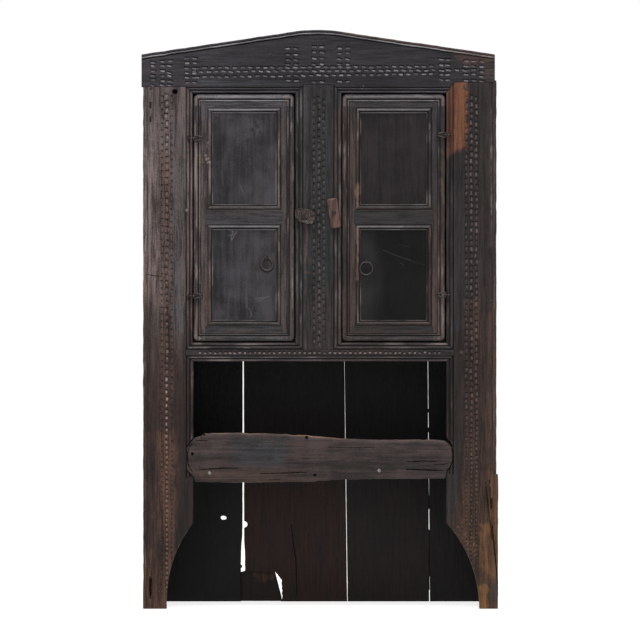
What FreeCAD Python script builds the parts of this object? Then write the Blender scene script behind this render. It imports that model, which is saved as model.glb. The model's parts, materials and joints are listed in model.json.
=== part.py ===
import FreeCAD, Part
import math
import os
from types import SimpleNamespace

import Sketcher

# Trastero: a tall pine cabinet whose moulded, pegged front boards stand under a gabled pediment.
# Two panelled doors hang on wire eyes over an open shelf, and every board of the case shows.
# Lengths are in millimetres. +X runs to the right of someone who faces the front, +Y to the back
# and +Z up. The origin is on the floor, under the middle of the case.

Vector = FreeCAD.Vector

SIZES = {
    # Case
    "case_width": 1026,
    "case_depth": 420,
    "front_thickness": 28,
    "side_thickness": 22,
    "back_thickness": 20,
    "shelf_thickness": 20,
    "top_thickness": 22,
    "joint_clearance": 0.25,
    "overrun": 10,
    # Front frame
    "stile_width": 146,
    "head_height": 1496,
    "rail_top_height": 772,
    "rail_width": 54,
    "muntin_width": 133,
    "muntin_shift": 4,
    "left_shoulder_height": 1514,
    "muntin_shoulder_height": 1520,
    "right_shoulder_height": 1527,
    # Mouldings
    "bead_depth": 3,
    "quirk_width": 2,
    "edge_bead_width": 12,
    "edge_quirk_width": 3,
    "stile_moulding_width": 22,
    "muntin_moulding_width": 23,
    "rail_moulding_width": 20,
    "rail_lower_moulding_width": 17,
    # Pediment
    "pediment_left_overhang": 4,
    "pediment_right_inset": 5,
    "pediment_end_height": 113,
    "gable_rise": 76,
    "gable_shift": 9,
    "peak_radius": 400,
    "rake_bead_width": 9,
    "rake_fillet_width": 4,
    "rake_fillet_drop": 1,
    "rake_groove_width": 4,
    # Tenons and pegs
    "tenon_thickness": 10,
    "rail_tenon_width": 30,
    "rail_tenon_length": 60,
    "pediment_tenon_width": 60,
    "pediment_tenon_length": 34,
    "pediment_tenon_inset": 53,
    "muntin_tenon_width": 60,
    "muntin_tenon_length": 24,
    "peg_diameter": 13,
    "pediment_peg_drop": 14,
    "rail_peg_inset": 22,
    # Legs and the notches of the slat
    "left_foot_width": 69,
    "right_foot_width": 50,
    "right_foot_flare": 5,
    "leg_arch_height": 250,
    "leg_arch_radius": 376,
    "notch_depth": 21,
    "notch_top_height": 498,
    "notch_upper_height": 470,
    "left_notch_lower_height": 403,
    "left_notch_bottom_height": 380,
    "right_notch_lower_height": 426,
    "right_notch_bottom_height": 391,
    "slat_bottom_height": 365,
    "slat_width": 147,
    # Sides, back and shelves
    "side_front_plank_width": 198,
    "side_plank_gap": 0.8,
    "left_back_gap_top": 7,
    "left_back_gap_bottom": 12,
    "middle_back_gap": 6,
    "right_back_gap": 4.5,
    "knot_hole_diameter": 15,
    "knot_hole_height": 249,
    "knot_hole_reach": 287,
    "bite_radius": 10,
    "bite_height": 229,
    "break_height": 88,
    "break_width": 92,
    "break_slope": 20,
    "patch_height": 118,
    "patch_overlap": 26,
    "patch_slit": 10,
    "patch_slit_height": 60,
    "patch_thickness": 12,
    "floor_top_height": 784,
    "shelf_top_height": 1148,
    "shelf_setback": 46,
    "lower_shelf_top_height": 408,
    "cleat_width": 25,
    "cleat_height": 32,
    "cleat_setback": 12,
    "top_front_plank_width": 210,
    # Doors
    "door_thickness": 26,
    "door_side_gap": 3.5,
    "door_top_gap": 4,
    "door_bottom_gap": 6,
    "door_member_width": 54,
    "door_bottom_rail_width": 60,
    "lock_rail_width": 75,
    "lock_rail_height": 321,
    "sight_depth": 5,
    "panel_slope_width": 6.5,
    "panel_fillet_width": 2.5,
    "panel_fillet_drop": 1,
    "panel_bead_width": 9,
    "panel_groove_front": 8,
    "panel_groove_width": 6.5,
    "panel_groove_depth": 9,
    "panel_play": 1,
    "panel_thickness": 12,
    "panel_bevel_width": 24,
    "panel_bevel_inset": 4,
    "door_tenon_length": 16,
    "door_tenon_shoulder": 8,
    "door_peg_diameter": 6,
    "door_peg_inset": 9,
    # Wire-eye hinges
    "hinge_reach": 7.2,
    "hinge_wire": 4,
    "hinge_ring_radius": 4.7,
    "hinge_stile_inset": 13,
    "hinge_loop_length": 24,
    "hinge_loop_height": 14,
    "hinge_loop_head": 8,
    "hinge_bend_radius": 3.6,
    "hinge_clinch": 14,
    "left_upper_hinge_height": 1365,
    "left_lower_hinge_height": 908,
    "right_upper_hinge_height": 1375,
    "right_lower_hinge_height": 911,
    # Ring pulls
    "ring_wire": 4.2,
    "left_ring_radius": 16.8,
    "left_ring_tip": 28,
    "left_ring_nose": 4,
    "right_ring_radius": 18.4,
    "ring_stand": 3.4,
    "ring_seat": 1,
    "pull_eye_wire": 3.2,
    "pull_eye_radius": 5,
    "pull_eye_clinch": 12,
    "left_pull_inset": 79,
    "left_pull_height": 1028,
    "right_pull_inset": 69,
    "right_pull_height": 1007,
    # Turn buttons
    "button_play": 0.4,
    "button_thickness": 13,
    "button_bevel": 2.5,
    "left_button_inset": 22.8,
    "left_button_height": 1144.6,
    "left_button_near": 23.8,
    "left_button_far": 35.4,
    "left_button_above": 17.4,
    "left_button_below": 28,
    "right_button_inset": 21.2,
    "right_button_height": 1149.8,
    "right_button_width": 31,
    "right_button_near": 41.2,
    "right_button_far": 45.5,
    "right_button_bevel": 4,
    "button_nail_diameter": 5,
    "button_nail_clearance": 0.25,
    "button_nail_head_diameter": 12,
    "button_nail_head_height": 3.2,
    "button_nail_grip": 24,
    # Nails
    "nail_diameter": 3.6,
    "nail_head_diameter": 10,
    "nail_head_height": 2,
    "nail_length": 46,
    "nail_edge_distance": 30,
    "patch_nail_length": 28,
}

# The button stands clear of the door, turned this far out of the upright.
BUTTON_REST_DEGREES = 8

# Outline of the lower slat: across as a share of half the opening, up as a share of its width.
SLAT_TOP_SHARES = (
    (-0.944, 0.93), (-0.914, 0.996), (-0.59, 1.0), (-0.234, 0.969), (0.082, 0.918),
    (0.2, 0.891), (0.634, 0.86), (0.871, 0.874), (0.994, 0.85),
)
SLAT_BOTTOM_SHARES = (
    (0.994, 0.075), (0.476, 0.075), (0.2, 0.06), (-0.076, 0.02), (-0.47, 0.0), (-0.985, 0.004),
)
# Where the slat's nails sit, in the same shares.
SLAT_NAIL_SHARES = ((-0.871, 0.197), (0.47, 0.248))

# Middles of the three gaps in the back, as shares of half the case, at the top and at the floor.
LEFT_GAP_SHARES = (-0.446, -0.446)
MIDDLE_GAP_SHARES = (0.117, 0.156)
RIGHT_GAP_SHARES = (0.613, 0.635)

# Outline of the worn block on the left: across from the pivot as a share of its reach on that
# side, and up as a share of its reach above or below.
LEFT_BUTTON_SHARES = (
    (-1.0, 0.9), (-0.15, 1.0), (0.35, 0.85), (0.93, 0.4), (1.0, -0.25), (0.78, -0.95),
    (0.25, -1.0), (-0.7, -0.62), (-1.0, -0.35),
)


class Size:
    """A length that keeps both its value and the expression that works it out from the sheet."""

    def __init__(self, value, text):
        self.value = float(value)
        self.text = text

    def __add__(self, other):
        other = as_size(other)
        return Size(self.value + other.value, f"({self.text} + {other.text})")

    def __sub__(self, other):
        other = as_size(other)
        return Size(self.value - other.value, f"({self.text} - {other.text})")

    def __mul__(self, other):
        other = as_size(other)
        return Size(self.value * other.value, f"({self.text} * {other.text})")

    def __truediv__(self, other):
        other = as_size(other)
        return Size(self.value / other.value, f"({self.text} / {other.text})")

    def __neg__(self):
        return Size(-self.value, f"(-1 * {self.text})")

    __rmul__ = __mul__


def as_size(number):
    """Plain numbers join an expression as they are."""
    return number if isinstance(number, Size) else Size(number, f"({float(number)!r})")


ZERO = Size(0, "0")


def make_sheet(doc):
    """Write the driving dimensions and return them as named sizes."""
    sheet = doc.addObject("Spreadsheet::Sheet", "Sizes")
    named = SimpleNamespace()
    for row, (alias, value) in enumerate(SIZES.items(), start=1):
        sheet.set(f"A{row}", alias)
        sheet.set(f"B{row}", str(value))
        sheet.setAlias(f"B{row}", alias)
        setattr(named, alias, Size(value, f"Sizes.{alias}"))
    doc.recompute()
    return named


doc = FreeCAD.newDocument("Trastero")
S = make_sheet(doc)

# Places that several pieces share
FRONT = (S.button_thickness - S.case_depth) / 2
REAR = FRONT + S.case_depth
HALF_CASE = S.case_width / 2
HALF_OPENING = HALF_CASE - S.stile_width
BOARDS_BACK = FRONT + S.front_thickness
BACK_FRONT = REAR - S.back_thickness
SIDE_DEPTH = BACK_FRONT - BOARDS_BACK
SIDE_INSIDE = HALF_CASE - S.side_thickness
CASE_TOP = S.left_shoulder_height
MUNTIN_LEFT = -S.muntin_width / 2 - S.muntin_shift
MUNTIN_RIGHT = S.muntin_width / 2 - S.muntin_shift
RAIL_BOTTOM = S.rail_top_height - S.rail_width
DOOR_BOTTOM = S.rail_top_height + S.door_bottom_gap
DOOR_HEIGHT = S.head_height - S.door_top_gap - DOOR_BOTTOM
LEFT_DOOR_WIDTH = MUNTIN_LEFT + HALF_OPENING - 2 * S.door_side_gap
RIGHT_DOOR_WIDTH = HALF_OPENING - MUNTIN_RIGHT - 2 * S.door_side_gap
TENON_FRONT = (S.front_thickness - S.tenon_thickness) / 2
TENON_BACK = TENON_FRONT + S.tenon_thickness
SHOULDER_HEIGHTS = {-1: S.left_shoulder_height, 1: S.right_shoulder_height}
PEDIMENT_REACHES = {-1: HALF_CASE + S.pediment_left_overhang, 1: HALF_CASE - S.pediment_right_inset}
PEAK_HEIGHT = S.pediment_end_height + S.gable_rise
HINGE_HEIGHTS = {
    -1: (S.left_upper_hinge_height, S.left_lower_hinge_height),
    1: (S.right_upper_hinge_height, S.right_lower_hinge_height),
}
NOTCHES = {
    -1: (S.left_notch_lower_height, S.left_notch_bottom_height),
    1: (S.right_notch_lower_height, S.right_notch_bottom_height),
}

pieces = []
cuts = []


class Outline:
    """A closed outline in a sketch, drawn from point to point."""

    def __init__(self, turn=lambda across, up: (across, up)):
        self.turn = turn
        self.points = []
        self.arcs = {}

    def line(self, *points):
        for across, up in points:
            self.points.append(self.turn(as_size(across), as_size(up)))
        return self

    def arc(self, across, up, via, radius):
        """An arc to a new point. It passes on the side of via, and radius sets its size."""
        self.arcs[len(self.points) - 1] = (self.turn(as_size(via[0]), as_size(via[1])), radius)
        return self.line((across, up))

    def follow(self, moulding, edge, inward, leaving=False):
        """Run along a moulding from the edge into the board, or the other way when leaving."""
        points, bulges = moulding
        order = range(len(points) - 1, -1, -1) if leaving else range(len(points))
        last = None
        for index in order:
            across, deep = points[index]
            bulge = None if last is None else bulges[min(index, last)]
            if bulge is None:
                self.line((edge + across * inward, deep))
            else:
                middle, radius = bulge
                self.arc(edge + across * inward, deep, (edge + middle * inward, ZERO), radius)
            last = index
        return self


def bead_radius(width):
    """Radius of the bead that rises by its own depth over its width."""
    return width * width / (8 * S.bead_depth) + S.bead_depth / 2


def double_bead(width):
    """Two beads with a quirk behind each, as points from the edge of a board inwards."""
    bead = width / 2 - S.quirk_width
    second = bead + S.quirk_width
    points = [
        (ZERO, S.bead_depth), (bead, S.bead_depth), (second, S.bead_depth),
        (second + bead, S.bead_depth), (width, S.bead_depth), (width, ZERO),
    ]
    bulges = [(bead / 2, bead_radius(bead)), None, (second + bead / 2, bead_radius(bead)), None, None]
    return points, bulges


def edge_bead():
    """One wide bead and its quirk."""
    width = S.edge_bead_width
    inner = width + S.edge_quirk_width
    points = [(ZERO, S.bead_depth), (width, S.bead_depth), (inner, S.bead_depth), (inner, ZERO)]
    return points, [(width / 2, bead_radius(width)), None, None]


def panel_moulding():
    """Slope, fillet and bead that lead from a door's panel up to the face of its frame."""
    fillet = S.panel_slope_width + S.panel_fillet_width
    bead = fillet + S.quirk_width
    end = bead + S.panel_bead_width
    points = [
        (ZERO, S.sight_depth), (S.panel_slope_width, S.panel_fillet_drop),
        (fillet, S.panel_fillet_drop), (fillet, S.bead_depth), (bead, S.bead_depth),
        (end, S.bead_depth), (end, ZERO),
    ]
    middle = bead + S.panel_bead_width / 2
    return points, [None, None, None, None, (middle, bead_radius(S.panel_bead_width)), None]


PANEL_MOULDING_WIDTH = (
    S.panel_slope_width + S.panel_fillet_width + S.quirk_width + S.panel_bead_width
)


def new_body(label):
    body = doc.addObject("PartDesign::Body", label)
    body.Label = label
    pieces.append(body)
    return body


def new_sketch(body, role, name, offset=None):
    """A sketch on one of the body's own origin planes, moved along the plane's normal."""
    sketch = body.newObject("Sketcher::SketchObject", f"{body.Label}_{name}")
    plane = next(f for f in body.Origin.OriginFeatures if f.Role == role)
    sketch.AttachmentSupport = [(plane, "")]
    sketch.MapMode = "FlatFace"
    if offset is not None:
        sketch.AttachmentOffset = FreeCAD.Placement(Vector(0, 0, offset.value), FreeCAD.Rotation())
        sketch.setExpression("AttachmentOffset.Base.z", offset.text)
    return sketch


def as_vector(point):
    return Vector(point[0].value, point[1].value, 0)


def arc_middle(start, end, via, radius):
    """Where an arc of this radius between two points passes, on the side of via."""
    chord = end - start
    half = chord.Length / 2
    rise = radius - math.sqrt(radius * radius - half * half)
    normal = Vector(-chord.y, chord.x, 0).normalize()
    middle = (start + end) / 2
    side = 1 if normal.dot(via - middle) > 0 else -1
    return middle + normal * (rise * side)


def add_bound(sketch, bound):
    """Add constraints and bind each one's value to its size's expression."""
    first = sketch.ConstraintCount
    sketch.addConstraint([constraint for constraint, _ in bound])
    for index, (_, size) in enumerate(bound, start=first):
        if size is not None and "Sizes." in size.text:
            sketch.setExpression(f"Constraints[{index}]", size.text)


def point_at(geometry, position, point):
    """Constraints that hold a point of the geometry at two named sizes from the origin."""
    across, up = point
    return [
        (Sketcher.Constraint("DistanceX", -1, 1, geometry, position, across.value), across),
        (Sketcher.Constraint("DistanceY", -1, 1, geometry, position, up.value), up),
    ]


def draw_outline(sketch, outline):
    """Draw the outline with every corner and radius bound to the sheet."""
    corners = [as_vector(point) for point in outline.points]
    ends = []
    for index, start in enumerate(corners):
        end = corners[(index + 1) % len(corners)]
        if index in outline.arcs:
            via, radius = outline.arcs[index]
            middle = arc_middle(start, end, as_vector(via), radius.value)
            # A sketch keeps its arcs anticlockwise, so one that runs the other way is drawn from its end.
            forward = (middle - start).cross(end - middle).z > 0
            arc = Part.Arc(start, middle, end) if forward else Part.Arc(end, middle, start)
            edge = sketch.addGeometry(arc, False)
            ends.append((edge, 1, 2) if forward else (edge, 2, 1))
        else:
            edge = sketch.addGeometry(Part.LineSegment(start, end), False)
            ends.append((edge, 1, 2))
    bound = []
    for index, (edge, first, last) in enumerate(ends):
        following, following_first, _ = ends[(index + 1) % len(ends)]
        bound.append((Sketcher.Constraint("Coincident", edge, last, following, following_first), None))
        bound.extend(point_at(edge, first, outline.points[index]))
        if index in outline.arcs:
            radius = outline.arcs[index][1]
            bound.append((Sketcher.Constraint("Radius", edge, radius.value), radius))
    add_bound(sketch, bound)


def draw_circle(sketch, centre, diameter):
    radius = diameter / 2
    circle = Part.Circle(as_vector(centre), Vector(0, 0, 1), radius.value)
    edge = sketch.addGeometry(circle, False)
    bound = point_at(edge, 3, centre)
    bound.append((Sketcher.Constraint("Radius", edge, radius.value), radius))
    add_bound(sketch, bound)


def box_outline(left, right, bottom, top):
    return Outline().line((left, bottom), (right, bottom), (right, top), (left, top))


def pad(body, sketch, length, reverse=False, both_ways=False, taper=None):
    feature = body.newObject("PartDesign::Pad", f"{sketch.Name}_pad")
    feature.Profile = sketch
    feature.SideType = "Symmetric" if both_ways else "One side"
    feature.Reversed = reverse
    feature.setExpression("Length", length.text)
    if taper is not None:
        feature.setExpression("TaperAngle", taper)
    return feature


def pocket(body, sketch, depth=None, reverse=False):
    """Cut the sketch to a depth, or right through the body both ways."""
    feature = body.newObject("PartDesign::Pocket", f"{sketch.Name}_pocket")
    feature.Profile = sketch
    if depth is None:
        feature.Type = "ThroughAll"
        feature.SideType = "Symmetric"
    else:
        feature.Reversed = reverse
        feature.setExpression("Length", depth.text)
    cuts.append(feature)
    return feature


def place(piece, across, deep, up):
    for axis, size in zip("xyz", (across, deep, up)):
        piece.setExpression(f"Placement.Base.{axis}", as_size(size).text)


def mirrored(side):
    """Sketch points whose across runs outwards on either side of the case."""
    return lambda across, up: (across * side, up)


# Front frame

def stile_section(side, flare):
    """Plan of a stile from its inner edge to its outer bead."""
    outline = Outline(mirrored(side)).line((ZERO, S.front_thickness))
    if flare is None:
        outline.follow(double_bead(S.stile_moulding_width), ZERO, 1)
        outer = S.stile_width
    else:
        outline.line((ZERO, ZERO))
        outer = S.stile_width + flare
    outline.follow(edge_bead(), outer, -1, leaving=True)
    return outline.line((outer, S.front_thickness))


def stile_cutouts(side, foot_width, shoulder):
    """Leg arch, slat notch, rail recess and head mitre, seen from the front."""
    lower, bottom = NOTCHES[side]
    foot = S.stile_width - foot_width
    beyond = -S.overrun
    band = S.stile_moulding_width
    turn = mirrored(side)
    leg = Outline(turn).line((beyond, beyond), (foot, beyond), (foot, ZERO))
    leg.arc(ZERO, S.leg_arch_height, (foot, S.leg_arch_height / 2), S.leg_arch_radius)
    leg.line((beyond, S.leg_arch_height))
    notch = Outline(turn).line(
        (beyond, bottom), (ZERO, bottom), (S.notch_depth, lower),
        (S.notch_depth, S.notch_upper_height), (ZERO, S.notch_top_height),
        (beyond, S.notch_top_height),
    )
    recess = Outline(turn).line(
        (beyond, RAIL_BOTTOM), (ZERO, RAIL_BOTTOM), (band, RAIL_BOTTOM + S.rail_lower_moulding_width),
        (band, S.rail_top_height - S.rail_moulding_width), (ZERO, S.rail_top_height),
        (beyond, S.rail_top_height),
    )
    mitre = Outline(turn).line(
        (beyond, S.head_height), (ZERO, S.head_height), (band, shoulder),
        (band, shoulder + S.overrun), (beyond, shoulder + S.overrun),
    )
    return leg, notch, recess, mitre


def make_stile(label, side, foot_width, flare):
    """A stile is one board: its moulding stops at the slat's notch and its foot is sawn to a curve."""
    shoulder = SHOULDER_HEIGHTS[side]
    bottom = NOTCHES[side][1]
    body = new_body(label)
    upper = new_sketch(body, "XY_Plane", "moulded", bottom)
    draw_outline(upper, stile_section(side, None))
    pad(body, upper, shoulder - bottom)
    lower = new_sketch(body, "XY_Plane", "leg")
    draw_outline(lower, stile_section(side, flare))
    pad(body, lower, bottom)

    outlines = new_sketch(body, "XZ_Plane", "outlines")
    for outline in stile_cutouts(side, foot_width, shoulder):
        draw_outline(outlines, outline)
    pocket(body, outlines)

    play = S.joint_clearance
    mortise = new_sketch(body, "YZ_Plane", "rail_mortise")
    middle = S.rail_top_height - S.rail_width / 2
    half = S.rail_tenon_width / 2 + play
    draw_outline(mortise, box_outline(TENON_FRONT - play, TENON_BACK + play, middle - half, middle + half))
    depth = S.stile_moulding_width + S.rail_tenon_length + play
    pocket(body, mortise, depth, reverse=side > 0)

    slot = new_sketch(body, "XY_Plane", "pediment_mortise", shoulder)
    across = S.pediment_tenon_inset * side
    half = S.pediment_tenon_width / 2 + play
    draw_outline(slot, box_outline(across - half, across + half, TENON_FRONT - play, TENON_BACK + play))
    pocket(body, slot, S.pediment_tenon_length + play)

    holes = new_sketch(body, "XZ_Plane", "peg_holes")
    rail_peg = (S.stile_moulding_width + S.rail_peg_inset) * side
    draw_circle(holes, (rail_peg, middle), S.peg_diameter)
    draw_circle(holes, (across, shoulder - S.pediment_peg_drop), S.peg_diameter)
    pocket(body, holes)
    place(body, HALF_OPENING * side, FRONT, ZERO)


def make_muntin():
    """The board between the doors, with stub tenons and mitred mouldings at both ends."""
    body = new_body("centre_muntin")
    half = S.muntin_width / 2
    band = S.muntin_moulding_width
    bottom = S.rail_top_height - S.rail_moulding_width
    height = S.muntin_shoulder_height - bottom
    section = new_sketch(body, "XY_Plane", "section")
    outline = Outline().line((-half, S.front_thickness)).follow(double_bead(band), -half, 1)
    outline.follow(double_bead(band), half, -1, leaving=True).line((half, S.front_thickness))
    draw_outline(section, outline)
    pad(body, section, height)

    mitres = new_sketch(body, "XZ_Plane", "mitres")
    head = S.head_height - bottom
    beyond = half + S.overrun
    for side in (-1, 1):
        lower = Outline(mirrored(side)).line(
            (half - band, ZERO), (half - band, -S.overrun), (beyond, -S.overrun),
            (beyond, S.rail_moulding_width), (half, S.rail_moulding_width),
        )
        upper = Outline(mirrored(side)).line(
            (half - band, height), (half, head), (beyond, head), (beyond, height + S.overrun),
            (half - band, height + S.overrun),
        )
        draw_outline(mitres, lower)
        draw_outline(mitres, upper)
    pocket(body, mitres)

    for name, level, reverse in (("foot", None, True), ("head", height, False)):
        tenon = new_sketch(body, "XY_Plane", f"{name}_tenon", level)
        half_tenon = S.muntin_tenon_width / 2
        draw_outline(tenon, box_outline(-half_tenon, half_tenon, TENON_FRONT, TENON_BACK))
        pad(body, tenon, S.muntin_tenon_length, reverse=reverse)
    place(body, -S.muntin_shift, FRONT, bottom)


def make_middle_rail():
    """The rail under the doors. Its mouldings meet those of the stiles and the muntin in mitres."""
    body = new_body("middle_rail")
    play = S.joint_clearance
    height = S.rail_width
    section = new_sketch(body, "YZ_Plane", "section")
    outline = Outline(lambda up, deep: (deep, up)).line((ZERO, S.front_thickness))
    outline.follow(double_bead(S.rail_lower_moulding_width), ZERO, 1)
    outline.follow(double_bead(S.rail_moulding_width), height, -1, leaving=True)
    draw_outline(section, outline.line((height, S.front_thickness)))
    shoulder = HALF_OPENING + S.stile_moulding_width
    pad(body, section, 2 * shoulder, both_ways=True)

    ends = new_sketch(body, "XZ_Plane", "mitres")
    beyond = shoulder + S.overrun
    for side in (-1, 1):
        lower = Outline(mirrored(side)).line(
            (HALF_OPENING, ZERO), (HALF_OPENING, -S.overrun), (beyond, -S.overrun),
            (beyond, S.rail_lower_moulding_width), (shoulder, S.rail_lower_moulding_width),
        )
        upper = Outline(mirrored(side)).line(
            (HALF_OPENING, height), (HALF_OPENING, height + S.overrun), (beyond, height + S.overrun),
            (beyond, height - S.rail_moulding_width), (shoulder, height - S.rail_moulding_width),
        )
        draw_outline(ends, lower)
        draw_outline(ends, upper)
    seat = height - S.rail_moulding_width
    band = S.muntin_moulding_width
    draw_outline(ends, Outline().line(
        (MUNTIN_LEFT, height + S.overrun), (MUNTIN_LEFT, height), (MUNTIN_LEFT + band, seat),
        (MUNTIN_RIGHT - band, seat), (MUNTIN_RIGHT, height), (MUNTIN_RIGHT, height + S.overrun),
    ))
    pocket(body, ends)

    mortise = new_sketch(body, "XY_Plane", "muntin_mortise", seat)
    half = S.muntin_tenon_width / 2 + play
    draw_outline(mortise, box_outline(
        -S.muntin_shift - half, half - S.muntin_shift, TENON_FRONT - play, TENON_BACK + play,
    ))
    pocket(body, mortise, S.muntin_tenon_length + play)

    middle = height / 2
    half = S.rail_tenon_width / 2
    for side, name in ((-1, "left"), (1, "right")):
        tenon = new_sketch(body, "YZ_Plane", f"{name}_tenon", HALF_OPENING * side)
        draw_outline(tenon, box_outline(TENON_FRONT, TENON_BACK, middle - half, middle + half))
        pad(body, tenon, S.stile_moulding_width + S.rail_tenon_length, reverse=side < 0)
    holes = new_sketch(body, "XZ_Plane", "peg_holes")
    for side in (-1, 1):
        draw_circle(holes, ((shoulder + S.rail_peg_inset) * side, middle), S.peg_diameter)
    pocket(body, holes)
    place(body, ZERO, FRONT, RAIL_BOTTOM)


def pediment_outline():
    """Front view of the pediment: gable above, a stepped and mitred edge over the doors below."""
    head = S.head_height
    left, right = PEDIMENT_REACHES[-1], PEDIMENT_REACHES[1]
    shoulder = HALF_OPENING + S.stile_moulding_width
    band = S.muntin_moulding_width
    muntin_seat = S.muntin_shoulder_height - head
    return Outline().line(
        (-left, S.left_shoulder_height - head), (-shoulder, S.left_shoulder_height - head),
        (-HALF_OPENING, ZERO), (MUNTIN_LEFT, ZERO), (MUNTIN_LEFT + band, muntin_seat),
        (MUNTIN_RIGHT - band, muntin_seat), (MUNTIN_RIGHT, ZERO), (HALF_OPENING, ZERO),
        (shoulder, S.right_shoulder_height - head), (right, S.right_shoulder_height - head),
        (right, S.pediment_end_height), (-S.gable_shift, PEAK_HEIGHT), (-left, S.pediment_end_height),
    )


def rake_section():
    """What is cut away above the raking moulding, seen at the peak."""
    bead = S.rake_bead_width
    fillet = bead + S.rake_fillet_width
    end = fillet + S.rake_groove_width
    beyond = S.overrun
    peak = PEAK_HEIGHT
    outline = Outline(lambda up, deep: (deep, up))
    outline.line((peak + beyond, -beyond), (peak + beyond, S.bead_depth), (peak, S.bead_depth))
    outline.arc(peak - bead, S.bead_depth, (peak - bead / 2, ZERO), bead_radius(bead))
    return outline.line(
        (peak - bead, S.rake_fillet_drop), (peak - fillet, S.rake_fillet_drop),
        (peak - fillet, S.bead_depth), (peak - end, S.bead_depth), (peak - end, -beyond),
    )


def cut_rake(body, side):
    """Run the raking moulding from the mitre at the peak down to one end of the pediment."""
    sketch = new_sketch(body, "YZ_Plane", f"rake_{'left' if side < 0 else 'right'}", -S.gable_shift)
    draw_outline(sketch, rake_section())
    run = PEDIMENT_REACHES[side] + S.gable_shift * side
    rise = S.gable_rise
    feature = pocket(body, sketch, run + S.overrun, reverse=side > 0)
    feature.UseCustomVector = True
    feature.AlongSketchNormal = True
    feature.Direction = Vector(side * run.value, 0, -rise.value)
    feature.Reversed = False
    feature.setExpression("Direction.x", (run * side).text)
    feature.setExpression("Direction.z", (-rise).text)


def make_pediment():
    """The gabled head of the front, one board with tenons down into the stiles."""
    body = new_body("pediment_board")
    play = S.joint_clearance
    board = new_sketch(body, "XZ_Plane", "board")
    draw_outline(board, pediment_outline())
    pad(body, board, S.front_thickness, reverse=True)
    doc.recompute()
    peak = (-S.gable_shift.value, PEAK_HEIGHT.value)
    names = [
        f"Edge{index}" for index, edge in enumerate(body.Tip.Shape.Edges, start=1)
        if all(math.hypot(v.X - peak[0], v.Z - peak[1]) < play.value for v in edge.Vertexes)
    ]
    sharp = body.Tip
    rounded = body.newObject("PartDesign::Fillet", "peak_fillet")
    rounded.Base = (sharp, names)
    rounded.setExpression("Radius", S.peak_radius.text)
    for side in (-1, 1):
        cut_rake(body, side)

    shoulder = HALF_OPENING + S.stile_moulding_width
    lower = new_sketch(body, "YZ_Plane", "head_moulding")
    band = S.left_shoulder_height - S.head_height
    outline = Outline(lambda up, deep: (deep, up)).line((-S.overrun, -S.overrun), (-S.overrun, S.bead_depth))
    outline.follow(double_bead(band), ZERO, 1).line((band, -S.overrun))
    draw_outline(lower, outline)
    cut = pocket(body, lower, 2 * shoulder)
    cut.SideType = "Symmetric"

    mortise = new_sketch(body, "XY_Plane", "muntin_mortise", S.muntin_shoulder_height - S.head_height)
    half = S.muntin_tenon_width / 2 + play
    draw_outline(mortise, box_outline(
        -S.muntin_shift - half, half - S.muntin_shift, TENON_FRONT - play, TENON_BACK + play,
    ))
    pocket(body, mortise, S.muntin_tenon_length + play, reverse=True)

    half = S.pediment_tenon_width / 2
    holes_at = []
    for side, name in ((-1, "left"), (1, "right")):
        level = SHOULDER_HEIGHTS[side] - S.head_height
        across = (HALF_OPENING + S.pediment_tenon_inset) * side
        tenon = new_sketch(body, "XY_Plane", f"{name}_tenon", level)
        draw_outline(tenon, box_outline(across - half, across + half, TENON_FRONT, TENON_BACK))
        pad(body, tenon, S.pediment_tenon_length, reverse=True)
        holes_at.append((across, level - S.pediment_peg_drop))
    holes = new_sketch(body, "XZ_Plane", "peg_holes")
    for centre in holes_at:
        draw_circle(holes, centre, S.peg_diameter)
    pocket(body, holes)
    place(body, ZERO, FRONT, S.head_height)


def make_slat():
    """The worn slat that sits in the notches of both stiles, nailed to the shelf behind it."""
    body = new_body("lower_slat")
    play = S.joint_clearance
    bottom = S.slat_bottom_height
    end = HALF_OPENING + S.notch_depth - play
    outline = Outline()

    def notched_end(side):
        lower, foot = NOTCHES[side]
        corners = [
            (HALF_OPENING * side, foot - bottom + 2 * play), (end * side, lower - bottom + play),
            (end * side, S.notch_upper_height - bottom - play),
            (HALF_OPENING * side, S.notch_top_height - bottom - 2 * play),
        ]
        return corners if side < 0 else corners[::-1]

    outline.line(*notched_end(-1))
    outline.line(*[(HALF_OPENING * across, S.slat_width * up) for across, up in SLAT_TOP_SHARES])
    right_end = notched_end(1)
    outline.line((HALF_OPENING, S.slat_width * SLAT_TOP_SHARES[-1][1]), *right_end[1:])
    outline.line(*[(HALF_OPENING * across, S.slat_width * up) for across, up in SLAT_BOTTOM_SHARES])
    board = new_sketch(body, "XZ_Plane", "board")
    draw_outline(board, outline)
    pad(body, board, S.front_thickness, reverse=True)
    place(body, ZERO, FRONT, bottom)


# Case behind the front

def make_box(label, left, right, front, back, bottom, top):
    """A plain sawn board."""
    box = doc.addObject("Part::Box", label)
    box.Label = label
    for name, size in (("Length", right - left), ("Width", back - front), ("Height", top - bottom)):
        box.setExpression(name, size.text)
    place(box, left, front, bottom)
    pieces.append(box)
    return box


def make_side(side, name):
    """Two upright planks, butted edge to edge, make each side."""
    left, right = (-HALF_CASE, -SIDE_INSIDE) if side < 0 else (SIDE_INSIDE, HALF_CASE)
    joint = BOARDS_BACK + S.side_front_plank_width
    make_box(f"{name}_side_front_plank", left, right, BOARDS_BACK, joint, ZERO, CASE_TOP)
    make_box(f"{name}_side_rear_plank", left, right, joint + S.side_plank_gap, BACK_FRONT, ZERO, CASE_TOP)


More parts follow.
